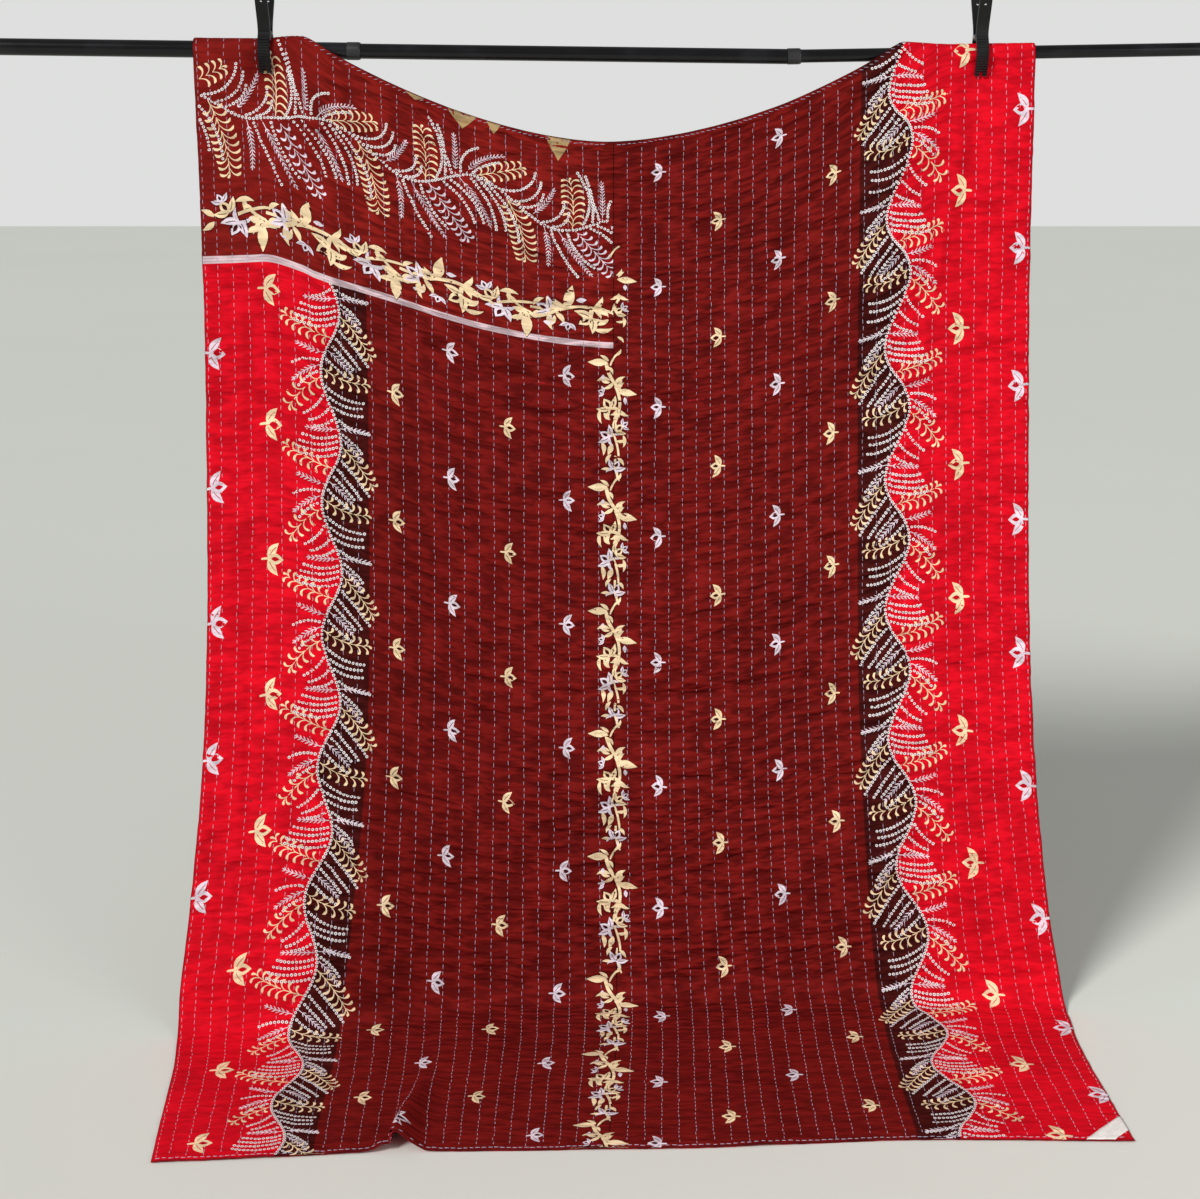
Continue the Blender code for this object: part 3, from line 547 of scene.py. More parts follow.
def cotton_group():
    """Washed cotton: threads in both directions, slubs, soft fading, and painted light and shade on the
    ripples, on flat coordinates in metres.
    """
    tree, n, given, made = new_tree(
        "washed cotton",
        "ShaderNodeTree",
        (("Flat", "Vector"), ("Colour", "Color"), ("Fading", "Float", 0.3), ("Ripple", "Float", 1.0)),
        (("Colour", "Color"), ("Height", "Float"), ("Roughness", "Float")),
    )
    warp, weft, slub, crumple, worn, puffs, pulled = (
        n.noise(given["Flat"], (across, down, 1.0), detail, roughness)
        for across, down, detail, roughness in (
            (2600.0, 90.0, 1.0, 0.5),
            (80.0, 2300.0, 1.0, 0.5),
            (26.0, 420.0, 2.0, 0.5),
            (70.0, 190.0, 3.0, 0.6),
            (5.0, 6.5, 4.0, 0.6),
            (21.0, 74.0, 1.5, 0.5),
            (11.0, 34.0, 1.0, 0.5),
        )
    )
    threads = n.math("ADD", warp, weft)
    shade = n.times(threads, 0.32, 0.68)
    shade = n.times(slub, 0.22, n.less(shade, 0.11))
    shade = n.times(crumple, 0.26, n.less(shade, 0.13))
    fold = n.math("ABSOLUTE", n.times(pulled, 2.0, -1.0))
    # painted light and shade: pressed is lighter on the crests of the puffs and darker in their valleys and
    # along the fold lines
    pressed = n.times(n.step(puffs, 0.36, 0.62), n.step(fold, 0.0, 0.16, 0.62, 1.0))
    painted_relief_shade = n.times(n.step(pressed, 0.0, 1.0, -0.34, 0.16), given["Ripple"], 1.0)
    faded = n.times(n.less(worn, 0.5), given["Fading"])
    shade = n.times(faded, 2.2, n.times(shade, painted_relief_shade))
    grey = n.add("ShaderNodeCombineColor", Red=shade, Green=shade, Blue=shade).outputs[0]
    n.put(made["Colour"], n.mix(1.0, given["Colour"], grey, blend_type="MULTIPLY"))
    height = n.times(threads, 0.00006, n.times(slub, 0.00005))
    for part, amount in ((crumple, 0.0014), (puffs, 0.0092), (n.math("SQRT", fold), 0.0034)):
        height = n.times(part, amount, height)
    n.put(made["Height"], n.times(height, given["Ripple"]))
    n.put(made["Roughness"], n.times(worn, 0.20, 0.66))
    return tree


COTTON = cotton_group()


def cotton_material(name, colour_of, fading=0.3, ripple=1.0, calm=None):
    """A cotton material; colour_of(nodes, u, v) gives its dyed colour on the flat cloth."""
    made, n, shader = new_material(name, 0.85, 0.04)
    flat = n.add("ShaderNodeUVMap", uv_map="flat").outputs["UV"]
    u, v, _ = n.parts(flat)
    if calm:  # the border's ripples and their painted light and shade are shallower, and so are those on the floor
        outside = n.times(n.less(u, wave_at(n, calm, v)), float(calm["side"]))
        ripple = n.times(n.step(outside, -0.01, 0.03, ripple, 0.55), n.step(v, 1.55, 1.85, 1.0, 0.6))
    cotton = n.add(
        "ShaderNodeGroup", node_tree=COTTON, Flat=flat, Colour=colour_of(n, u, v), Fading=fading, Ripple=ripple
    ).outputs
    n.put(shader["Base Color"], cotton["Colour"])
    n.put(shader["Roughness"], cotton["Roughness"])
    n.put(shader["Normal"], n.bump(cotton["Height"]))
    return made


RED = (0.700, 0.0040, 0.0150, 1.0)
MAROON = (0.172, 0.0078, 0.0066, 1.0)
DEEP = (0.058, 0.0060, 0.0052, 1.0)
RED_EYE = (0.560, 0.0040, 0.0130, 1.0)
END_MAROON = (0.215, 0.0105, 0.0080, 1.0)
CREAM = (0.93, 0.71, 0.44, 1.0)
LILAC = (0.82, 0.70, 0.78, 1.0)
INK = (0.055, 0.006, 0.007, 1.0)
BEIGE = (0.42, 0.28, 0.13, 1.0)
STRIPE = (0.74, 0.56, 0.60, 1.0)


def wave_at(n, wave, v):
    """The wave line of a border, as nodes."""
    turn = n.times(v, 2 * math.pi / REPEAT, -2 * math.pi * wave["crest"] / REPEAT)
    line = n.times(n.math("COSINE", turn), wave["swing"] * wave["side"], wave["u"])
    return n.math("ADD", line, n.step(v, DRIFT_START, FLAT_LENGTH, 0.0, wave["drift"]))


def panel_colour(wave, band):
    """The dyed ground of a front panel: a red border outside its wave line, maroon inside, and the end band."""

    def colour(n, u, v):
        outside = n.times(n.less(u, wave_at(n, wave, v)), float(wave["side"]))
        drift = n.step(v, DRIFT_START, FLAT_LENGTH, 0.0, min(wave["drift"], 0.0))
        zone = n.times(n.less(n.less(u, drift), wave["zone"]), float(wave["side"]))
        ground = n.mix(n.step(zone, -0.0015, 0.0015), MAROON, DEEP)
        ground = n.mix(n.step(outside, -0.0008, 0.0008), ground, RED)
        if band:
            into = n.less(n.times(n.math("SINE", n.times(u, 7.0)), 0.007, END_BAND), v)
            ground = n.mix(n.step(into, -0.0008, 0.0008), ground, END_MAROON)
            off = n.math("ABSOLUTE", into)
            ground = n.mix(n.step(off, END_STRIPE, END_STRIPE - 0.0010), ground, STRIPE)
            line = n.math("ABSOLUTE", n.less(off, 0.0022))
            ground = n.mix(n.step(line, 0.0007, 0.0003, 0.0, 0.35), ground, MAROON)
        # a dark line round the quilt's edge: partly its dark edge thread, partly painted shade where the edge
        # rolls under
        edge = n.less(u, FLAT_LEFT)
        for other in (n.less(FLAT_RIGHT, u), v, n.less(FLAT_LENGTH, v)):
            edge = n.math("MINIMUM", edge, other)
        ground = n.mix(n.step(edge, 0.0030, 0.0008, 0.0, 0.75), ground, INK)
        return n.mix(n.step(n.math("ABSOLUTE", u), 0.0016, 0.0004, 0.0, 0.6), ground, INK)

    return colour


def one_colour(colour):
    return lambda n, u, v: colour


# ---- print: strips along bent lines
PROFILES = {  # half width at even steps along a strip
    "comma": (0.22, 0.26, 0.32, 0.42, 0.62, 1.00, 1.08, 0.35),
    "leaflet": (0.25, 0.95, 0.90, 0.08),
    "leaf": (0.16, 0.64, 0.96, 0.98, 0.78, 0.42, 0.04),
    "stem": (1.00, 1.00, 1.00, 1.00, 1.00, 0.90, 0.60),
    "spike": (1.00, 0.90, 0.78, 0.64, 0.50, 0.34, 0.18, 0.02),
}
ACROSS = {  # points across a strip, where two are too few
    "leaf": (-1.0, 0.0, 1.0),
    "spike": (-1.0, -0.6, -0.2, 0.2, 0.6, 1.0),
}
HOOK = {"comma": 1.8}  # how late along a strip it bends, where that is not even


class Print:
    """Strips of one print, kept as rows: u, v, angle, length, half width, bend, level."""

    def __init__(self):
        self.rows = {}
        self.dots = []

    def strip(self, profile, colour, x, y, angle, length, half_width, bend=0.0, level=0):
        self.rows.setdefault((profile, colour), []).append((x, y, angle, length, half_width, bend, level))

    def placed(self, other, u, v, turn=0.0, size=1.0, mirror=1, slope=0.0):
        """Adds another print, sized, mirrored across, turned by degrees, slanted and moved to (u, v)."""
        c, s = math.cos(math.radians(turn)), math.sin(math.radians(turn))

        def moved(x, y):
            x, y = x * size * mirror, y * size
            x, y = x * c - y * s, x * s + y * c
            return u + x, v + y + slope * x

        def slanted(heading):
            return math.atan2(math.sin(heading) + slope * math.cos(heading), math.cos(heading))

        for key, rows in other.rows.items():
            for x, y, angle, length, half_width, bend, level in rows:
                start = math.radians((angle if mirror > 0 else 180.0 - angle) + turn)
                leaves = slanted(start)
                turned = math.remainder(slanted(start + math.radians(bend * mirror)) - leaves, 2 * math.pi)
                if abs(bend) > 150:
                    turned = math.radians(bend * mirror)
                stretch = math.hypot(math.cos(start), math.sin(start) + slope * math.cos(start))
                row = (*moved(x, y), math.degrees(leaves), length * size * stretch, half_width * size)
                self.rows.setdefault(key, []).append((*row, math.degrees(turned), level))
        self.dots += [moved(x, y) for x, y in other.dots]

    def dotted(self, x, y, angle, length, bend, pitch=DOT_PITCH):
        """Dots along a bent line."""
        count = max(2, round(length / pitch))
        heading = math.radians(angle)
        for i in range(count):
            self.dots.append((x, y))
            heading += math.radians(bend) / count
            x += pitch * math.cos(heading)
            y += pitch * math.sin(heading)

    def mesh(self, name, cloth, colours, keep):
        """The kept strips as closed slips of colour lying in the cloth's face."""
        points, faces, materials, flats, count = [], [], [], [], 0
        for (profile, colour), rows in self.rows.items():
            rows = np.array(rows, float)
            rows = rows[keep(rows[:, 0], rows[:, 1])]
            if not len(rows):
                continue
            x, y, angle, length, half_width, bend, level = (rows[:, i : i + 1] for i in range(7))
            shares, places = np.array(PROFILES[profile]), np.array(ACROSS.get(profile, (-1.0, 1.0)))
            steps = len(shares)
            t = np.linspace(0.0, 1.0, steps)
            heading = np.radians(angle + bend * t[None, :] ** HOOK.get(profile, 1.0))
            between = (heading[:, 1:] + heading[:, :-1]) / 2
            x, y = (
                start + np.concatenate([np.zeros_like(x), np.cumsum(way * (length / (steps - 1)), 1)], 1)
                for start, way in ((x, np.cos(between)), (y, np.sin(between)))
            )
            beside = (half_width * shares[None, :])[:, :, None] * places[None, None, :]
            u = x[:, :, None] - np.sin(heading)[:, :, None] * beside
            v = y[:, :, None] + np.cos(heading)[:, :, None] * beside
            u = np.clip(u, cloth.us[0] + 0.001, cloth.us[-1] - 0.001)
            v = np.clip(v, 0.001, FLAT_LENGTH - 0.001)
            lift = PRINT_LEVEL * level[:, :, None]
            top, normal, _ = cloth.at(u, v, (PRINT_RISE + lift) * np.ones_like(u))
            low = top - normal * (PRINT_DEPTH + lift)[..., None]
            points.append(np.stack([top, low], axis=3).reshape(-1, 3))
            each = steps * len(places) * 2
            quads = slip_quads(steps, len(places))
            base = count + np.arange(len(rows))[:, None] * each
            faces.append((base[:, :, None] + quads[None]).reshape(-1, 4))
            materials.append(np.full(len(rows) * len(quads), list(colours).index(colour)))
            pairs = np.stack([u, v], axis=-1)
            flats.append(np.stack([pairs, pairs], axis=3).reshape(-1, 2))
            count += len(rows) * each
        mesh = plain_mesh(name, np.concatenate(points), np.concatenate(faces)[:, ::-1], np.concatenate(flats))
        mesh.polygons.foreach_set("material_index", np.concatenate(materials).astype(np.int32))
        mesh.shade_flat()
        return mesh


def slip_quads(steps, across):
    """Faces of a closed slip: points run across each step, even numbers on top and odd ones under them."""
    last, end, quads = 2 * (across - 1), 2 * across * (steps - 1), []
    for a in range(0, end, 2 * across):
        b = a + 2 * across
        for c in range(0, last, 2):
            quads.append((a + c, a + c + 2, b + c + 2, b + c))
            quads.append((a + c + 1, b + c + 1, b + c + 3, a + c + 3))
        quads += [(a, b, b + 1, a + 1), (a + last, a + last + 1, b + last + 1, b + last)]
    for c in range(0, last, 2):
        quads += [(c, c + 1, c + 3, c + 2), (end + c, end + c + 2, end + c + 3, end + c + 1)]
    return np.array(quads)


def tip(length, bend, share):
    """A point at a share of the length of the line that leaves +x and bends evenly by bend."""
    turn = math.radians(bend / 2)
    return length * share * math.cos(turn), length * share * math.sin(turn)


def feather(length, bend=0.0):
    """A sprig: a fine bent stem with straight leaflets in pairs."""
    made = Print()
    made.strip("stem", "white", 0, 0, 0, length, 0.00060, bend)
    pairs = round(length / 0.0074)
    for i in range(pairs):
        share = 0.14 + 0.80 * i / (pairs - 1)
        size = 0.0100 * (1.0 - 0.35 * i / (pairs - 1)) * (0.7 if i == 0 else 1.0)
        for side in (-1, 1):
            place = tip(length, bend * share, share)
            made.strip("leaflet", "white", *place, bend * share + 44 * side, size, 0.00085, -14 * side)
    made.strip("leaflet", "white", *tip(length, bend, 0.97), bend, 0.006, 0.0010)
    return made


def fern(length, width, bend=0.0, colour="cream"):
    """A frond: a bent stem with curled commas in pairs."""
    made = Print()
    made.strip("stem", colour, 0, 0, 0, length * 0.96, 0.00075, bend)
    pairs = round(length / 0.0122)
    for i in range(pairs):
        share = 0.05 + 0.87 * i / (pairs - 1)
        size = width * 0.60 * (0.66 + 0.42 * math.sin(math.pi * min(1.0, 0.12 + 0.80 * share)))
        for side in (-1, 1):
            place = tip(length, bend * share, share)
            made.strip("comma", colour, *place, bend * share + 20 * side, size, 0.0021, 138 * side)
    made.strip("comma", colour, *tip(length, bend, 0.94), bend - 12, 0.014, 0.0020, 80)
    return made


def bud(colour, eye):
    """A tulip bud on its side, opening to the right of its stem, about one unit long."""
    made = Print()
    made.strip("stem", colour, 0.02, 0.0, 184, 0.40, 0.050, -14, 1)
    made.strip("leaf", colour, -0.02, 0.0, 0, 0.62, 0.235, 0, 0)
    for side in (-1, 1):
        made.strip("leaf", colour, -0.06, 0.01 * side, 72 * side, 0.80, 0.180, -30 * side, 1)
        made.strip("stem", eye, -0.01, 0.14 * side, 64 * side, 0.46, 0.012, -24 * side, 2.5)
    made.strip("leaf", eye, 0.08, 0.0, 0, 0.34, 0.090, 0, 2.5)
    return made


def flower(colour, sepals=True):
    """An outlined flower on its side, opening along +x, about one unit long."""
    made = Print()
    for side in (-1, 1):
        made.strip("leaf", "ink", -0.09, 0.0, 72 * side, 0.88, 0.225, -30 * side)
        if sepals:
            made.strip("leaf", "ink", -0.10, 0.0, 96 * side, 0.74, 0.135, 86 * side)
    made.strip("leaf", "ink", -0.07, 0.0, 0, 0.75, 0.285)
    made.strip("leaf", colour, -0.02, 0.0, 0, 0.64, 0.235, 0, 1.4)
    for side in (-1, 1):
        if sepals:
            made.strip("leaf", colour, -0.08, 0.0, 96 * side, 0.68, 0.100, 86 * side, 1.4)
        made.strip("leaf", colour, -0.06, 0.0, 72 * side, 0.82, 0.175, -30 * side, 2)
        made.strip("stem", "ink", -0.01, 0.14 * side, 64 * side, 0.46, 0.016, -24 * side, 3.4)
    made.strip("leaf", "ink", 0.10, 0.0, 0, 0.36, 0.095, 0, 3.4)
    return made


def vine_repeat():
    """One repeat of the flowering vine, running down +y, centred on x = 0."""
    made = Print()
    stems = (  # angle, bend, x, y, length, half width
        (146, -40, 12, -10, 30, 1.8), (84, -46, -12, 10, 56, 3), (62, 44, 4, 50, 52, 2.6),
        (104, 22, 12, 94, 50, 2), (66, 24, 0, 136, 50, 2), (96, -30, 4, 178, 46, 2),
    )
    leaves = (  # angle, bend, x, y, length, half width, colour where not cream
        (176, 6, -10, 8, 34, 7), (-128, -36, -8, 6, 18, 3), (-20, -66, 4, -4, 18, 3), (40, 44, -8, 16, 16, 2.6),
        (214, -76, -6, 40, 24, 3.6), (176, 66, -6, 44, 20, 3), (118, 58, 0, 44, 22, 3.6),
        (-66, 54, 4, 48, 24, 3.8), (-20, -72, 6, 52, 18, 3), (8, 6, 8, 60, 36, 7), (-72, 44, 10, 56, 16, 2.8),
        (98, 0, -17, 30, 13, 3.6, "white"), (84, 0, 21, 72, 13, 3.6, "white"), (118, -66, -22, 94, 26, 3.4),
        (66, -62, 10, 92, 24, 3.6), (112, 64, 10, 92, 20, 3.4), (88, 0, 10, 90, 18, 3.6),
        (-140, 30, -6, 112, 18, 3.8), (-46, -30, 0, 112, 18, 3.6), (60, 60, 18, 140, 24, 3.4),
        (62, 44, -20, 152, 26, 4), (104, 12, -2, 156, 22, 5), (22, -60, 6, 150, 18, 3),
        (150, -60, -4, 176, 18, 3), (20, 60, 8, 182, 18, 3), (214, -56, -4, 204, 18, 3),
    )
    for angle, bend, *sizes in stems:
        x, y, length, half_width = (value / 1000 for value in sizes)
        made.strip("stem", "ink", x, y, angle, length, half_width + 0.0008, bend)
        made.strip("stem", "cream", x, y, angle, length, half_width, bend, 1.7)
    for angle, bend, x, y, length, half_width, *colour in leaves:
        x, y, length, half_width = (value / 1000 for value in (x, y, length, half_width))
        made.strip("leaf", "ink", x, y, angle, length + 0.001, half_width + 0.0008, bend)
        made.strip("leaf", *(colour or ["cream"]), x, y, angle, length, half_width, bend, 1.4)
    for colour, sepals, x, y, turn, size in (
        ("cream", True, -6, 90, -124, 30),
        ("cream", False, 6, 130, -40, 25),
        ("white", True, -8, 142, -150, 28),
        ("white", True, 3, 200, -62, 26),
        ("white", False, -17, 62, -166, 16),
        ("white", False, 18, 122, -30, 17),
    ):
        made.placed(flower(colour, sepals), x / 1000, y / 1000, turn, size / 1000)
    return made


# Sprays: kind, thousandths of the repeat, angle up, length, bend up, width of a fern.
RED_SIDE = (  # counted down from the wave's inmost point
    ("feather", -100, -5, 50, 6), ("dots", -55, -24, 62, 44), ("dots", -15, -26, 70, 46),
    ("dots", 30, -26, 76, 48), ("dots", 85, -24, 76, 50), ("fern", 215, 12, 86, 26, 36),
    ("feather", 350, 14, 45, 14), ("dots", 415, 14, 52, -38), ("feather", 450, -20, 50, -16),
    ("dots", 500, -22, 47, -30), ("fern", 550, -30, 66, -22, 34), ("dots", 660, -66, 48, 44),
    ("dots", 755, -54, 46, 44), ("dots", 830, -44, 40, 44),
)
DARK_SIDE = (  # as above
    ("feather", -110, -4, 48, -10), ("dots", -175, -40, 60, 34), ("dots", -75, -34, 50, -24),
    ("feather", -40, -44, 52, -14), ("fern", 30, -46, 84, -16, 38), ("dots", 130, -48, 82, -8),
    ("dots", 205, -48, 70, -6), ("dots", 265, -46, 56, -4), ("feather", 320, -38, 52, -10),
    ("dots", 380, -46, 58, 14), ("fern", 470, -36, 76, 36, 36), ("dots", 590, -44, 74, 46),
    ("dots", 670, -40, 64, 46), ("dots", 740, -36, 56, 42),
)
END_ABOVE = (  # counted from the line's lowest point, angles from level
    ("fern", 130, 84, 100, 16, 44), ("dots", 195, 62, 86, 48), ("dots", 265, 84, 100, 26),
    ("dots", 315, 104, 104, 14), ("feather", 335, 88, 80, 6), ("dots", 375, 100, 74, -74),
    ("feather", 410, 68, 86, -52), ("dots", 445, 56, 66, -36), ("fern", 480, 28, 86, -2, 40),
    ("dots", 640, -6, 86, 96), ("dots", 730, 4, 76, 88), ("dots", 785, 4, 56, 84), ("feather", 850, 44, 72, 26),
    ("dots", 915, 8, 70, 90), ("dots", 985, 6, 50, 90),
)
END_BELOW = (  # as above
    ("fern", 680, -62, 126, -26, 50), ("feather", 935, -76, 80, -18), ("dots", 975, -72, 104, 18),
    ("feather", 35, -62, 104, 10), ("dots", 95, -78, 90, 44), ("pale fern", 150, -50, 108, -6, 40),
    ("dots", 240, -22, 90, -56), ("dots", 290, -20, 94, -60), ("feather", 360, -44, 96, -26),
    ("dots", 430, -42, 110, -46), ("dots", 480, -36, 104, -54), ("dots", 530, -34, 124, -56),
)
END_REPEAT = 0.250
END_LOW = -0.603
END_LEVELS = (  # u, v of the end band's line of dots, without its wave
    (-705, 186), (-560, 176), (-420, 150), (-250, 146), (-140, 158), (0, 186),
)


def spray(kind, angle, length, bend, width=0.0):
    """One spray growing from the origin; angles up are negative here, since v runs down."""
    made = Print()
    length, width = length / 1000, width / 1000
    if kind == "dots":
        turn = math.radians(angle)
        made.dotted(0.0045 * math.cos(turn), -0.0045 * math.sin(turn), -angle, length, -bend)
        return made
    fronds = {"fern": "cream", "pale fern": "white"}
    shape = fern(length, width, -bend, fronds[kind]) if kind in fronds else feather(length, -bend)
    made.placed(shape, 0.0, 0.0, -angle)
    return made


def drifted(v):
    """Share of the way that the print has wandered aside on its way down to the hem."""
    return float(smooth((v - DRIFT_START) / (FLAT_LENGTH - DRIFT_START)))


def level_slope(u, v, reach):
    """How steeply a line that hangs level runs down the flat cloth at (u, v)."""
    (v_here, s_here), (v_there, s_there) = drape_of(u)[3], drape_of(u + reach)[3]
    level = float(np.interp(v, v_here, s_here))
    return (float(np.interp(level, s_there, v_there)) - v) / reach


def wave_u(wave, v):
    line = wave["u"] + wave["side"] * wave["swing"] * math.cos(2 * math.pi * (v - wave["crest"]) / REPEAT)
    return line + wave["drift"] * drifted(v)


def wave_border(wave, top):
    """The border's wave of dots with its sprays on both sides, from v = top to the hem."""
    made = Print()
    v = top
    while v < FLAT_LENGTH - 0.004:
        made.dots.append((wave_u(wave, v), v))
        slope = (wave_u(wave, v + 0.001) - wave_u(wave, v)) / 0.001
        v += DOT_PITCH / math.hypot(1.0, slope)
    inmost = wave["crest"] - REPEAT / 2
    for rows, way in ((RED_SIDE, wave["side"]), (DARK_SIDE, -wave["side"])):
        for kind, share, *sizes in rows:
            shape = spray(kind, *sizes)
            share = share / 1000
            for repeat in range(-2, 11):
                v = inmost + (repeat + share) * REPEAT
                if top + 0.006 < v < FLAT_LENGTH - 0.006:
                    at = wave_u(wave, v) + way * 0.003
                    made.placed(shape, at, v, 0.0, 1.0, way, level_slope(at, v, 0.05 * way))
    return made


def end_line(u):
    """V of the end band's line of dots."""
    level = float(np.interp(u, *np.array(END_LEVELS).T / 1000))
    return level + 0.027 * math.cos(2 * math.pi * (u - END_LOW) / END_REPEAT)


def end_band():
    """The end band's print: sprays above and below a lying wave of dots, over a lying vine."""
    made = Print()
    u = FLAT_LEFT + 0.006
    while u < -0.006:
        made.dots.append((u, end_line(u)))
        u += DOT_PITCH / math.hypot(1.0, (end_line(u + 0.001) - end_line(u)) / 0.001)
    for rows, side in ((END_ABOVE, -1), (END_BELOW, 1)):
        for kind, share, *sizes in rows:
            shape = spray(kind, *sizes)
            share = share / 1000
            for repeat in range(-2, 4):
                u = END_LOW + (repeat + share) * END_REPEAT
                if FLAT_LEFT - 0.03 < u < 0.03:
                    made.placed(shape, u, end_line(min(max(u, FLAT_LEFT), 0.0)) + 0.003 * side)
    for repeat in range(-1, 4):
        made.placed(vine_repeat(), -0.610 + repeat * 0.2240, 0.366, -90.0, 1.36)
    return made


def flat_keep(low_u, high_u, low_v, high_v):
    return lambda u, v: (u > low_u) & (u < high_u) & (v > low_v) & (v < high_v)


BUD_COLUMNS = (  # colour, u, first v, size, lag from the middle down, drift aside at the hem, last v
    ("white", 85, 68, 29, 40, -12, 2100), ("cream", 195, 183, 29, 36, -12, 2100),
    ("white", 305, 58, 29, 40, -19, 2050), ("cream", 405, 164, 29, 40, -8, 2100),
    ("cream", 640, 68, 40, 4, 22, 2100), ("white", 750, 164, 40, 6, 8, 2100),
    ("white", -693, 599, 40, -10, 0, 1700), ("cream", -596, 489, 40, -4, -44, 2100),
    ("cream", -381, 594, 29, 0, -20, 2000), ("white", -286, 487, 29, 0, -33, 2100),
    ("cream", -188, 598, 29, 0, -34, 2100), ("white", -85, 491, 29, 0, -36, 2100),
)


def scattered_buds():
    made = Print()
    chance = np.random.default_rng(21)
    for colour, *sizes in BUD_COLUMNS:
        u, first, size, lag, drift, last = (value / 1000 for value in sizes)
        shape = bud(colour, "ink" if abs(u) < 0.5 else "red eye")
        for v in np.arange(first, last, REPEAT):
            at_v = min(v + lag * math.sin(math.pi * min(v / FLAT_LENGTH, 0.5)), 2.10)
            turn = float(chance.uniform(-6, 6))
            made.placed(shape, u + drift * drifted(v), at_v, turn, size, -1 if u > 0 else 1)
    return made


def seam_vine():
    made = Print()
    shape = vine_repeat()
    for repeat in range(-1, 10):
        v = 0.455 + repeat * REPEAT
        made.placed(shape, -0.001 - 0.014 * drifted(v), v)
    return made


def top_wedges():
    made = Print()
    for u, length, half_width in ((-0.256, 0.031, 0.023), (-0.203, 0.022, 0.012), (-0.094, 0.047, 0.021)):
        made.strip("spike", "beige", u, 0.0015, 90, length, half_width)
    made.strip("spike", "beige", -0.335, 0.0015, 90, 0.010, 0.016)
    return made


# ---- geometry node trees
def points_tree(name, sizes, finishes):
    """A tree with the points' geometry, named sizes and named finishes as its inputs."""
    inputs = [("Points", "Geometry"), *((label, "Float") for label in sizes)]
    inputs += [(label, "Material") for label in finishes]
    return new_tree(name, "GeometryNodeTree", inputs, [("Geometry", "Geometry")])


def standing(n, points, shape, finish):
    """The shape at every point, turned to face out of the cloth and along its thread, realized."""
    facing_out, along, size = (
        n.add("GeometryNodeInputNamedAttribute", data_type="FLOAT_VECTOR", Name=name).outputs["Attribute"]
        for name in ("facing", "along", "size")
    )
    turn = n.add("FunctionNodeAxesToRotation", primary_axis="Z", secondary_axis="X")
    n.put(turn.inputs[0], facing_out)
    n.put(turn.inputs[1], along)
    spread = n.add(
        "GeometryNodeInstanceOnPoints", Points=points, Instance=shape, Rotation=turn.outputs[0], Scale=size
    )
    real = n.add("GeometryNodeRealizeInstances", Geometry=spread.outputs[0])
    return n.add("GeometryNodeSetMaterial", Geometry=real.outputs[0], Material=finish).outputs[0]


def dots_tree():
    tree, n, given, made = points_tree("ring dots", ("Radius", "Thickness"), ("Ring", "Middle"))
    joined = n.add("GeometryNodeJoinGeometry")
    for sides, share, proud, finish in ((6, 1.0, 0.0, "Ring"), (4, 0.42, 0.00024, "Middle")):
        radius = n.math("MULTIPLY", given["Radius"], share)
        depth = n.math("ADD", given["Thickness"], proud)
        disc = n.add("GeometryNodeMeshCylinder", fill_type="NGON", Vertices=sides, Radius=radius, Depth=depth)
        n.put(joined.inputs[0], standing(n, given["Points"], disc.outputs["Mesh"], given[finish]))
    n.put(made[0], joined.outputs[0])
    return tree


def stitches_tree():
    tree, n, given, made = points_tree("running stitches", ("Length", "Width", "Height"), ("Thread",))
    grain = n.add("GeometryNodeMeshCylinder", fill_type="NGON", Vertices=3, Radius=0.5, Depth=1.0)
    laid = n.add("GeometryNodeTransform", Geometry=grain.outputs["Mesh"], Rotation=(0.0, -math.pi / 2, 0.0))
    size = n.add("ShaderNodeCombineXYZ", X=given["Length"], Y=given["Width"], Z=given["Height"])
    sized = n.add("GeometryNodeTransform", Geometry=laid.outputs[0], Scale=size.outputs[0])
    n.put(made[0], standing(n, given["Points"], sized.outputs[0], given["Thread"]))
    return tree


def scattered(name, tree, places, facings, alongs, sizes, inputs):
    """A piece grown by a geometry tree from points, made a plain mesh."""
    seed = bpy.data.meshes.new(name + " points")
    seed.from_pydata([tuple(p) for p in places], [], [])
    carried = {"facing": facings, "along": alongs, "size": sizes}
    for label, values in carried.items():
        layer = seed.attributes.new(label, "FLOAT_VECTOR", "POINT")
        layer.data.foreach_set("vector", np.asarray(values, np.float32).ravel())
    holder = linked(name + " holder", seed)
    grow = holder.modifiers.new("grow", "NODES")
    grow.node_group = tree
    for item in tree.interface.items_tree:
        if item.in_out == "INPUT" and item.name in inputs:
            grow[item.identifier] = inputs[item.name]
    graph = bpy.context.evaluated_depsgraph_get()
    graph.update()
    mesh = bpy.data.meshes.new_from_object(holder.evaluated_get(graph))
    mesh.name = name
    for label in carried:
        if label in mesh.attributes:
            mesh.attributes.remove(mesh.attributes[label])
    if "Length" in inputs:
        mesh.shade_smooth()
    else:
        mesh.shade_flat()
    if not mesh.uv_layers:
        mesh.uv_layers.new(name="flat")
    bpy.data.objects.remove(holder)
    bpy.data.meshes.remove(seed)
    return piece(name, mesh)


# ---- finishes
JAW_TOP = 1.618  # height below which the clamps' jaws have moulded ribs
RIB_PITCH = 0.0042
RIB_HEIGHT = 0.0005


def times_colour(colour, share):
    return tuple(share * c for c in colour[:3]) + (1.0,)


def speckled_material(name, colour):
    """Print colour on cotton for small marks, on object coordinates."""
    made, n, shader = new_material(name, 0.85, 0.04)
    grain = n.noise(n.place(), 420.0)
    n.put(shader["Base Color"], n.mix(n.step(grain, 0.30, 0.60), times_colour(colour, 0.72), colour))
    return made


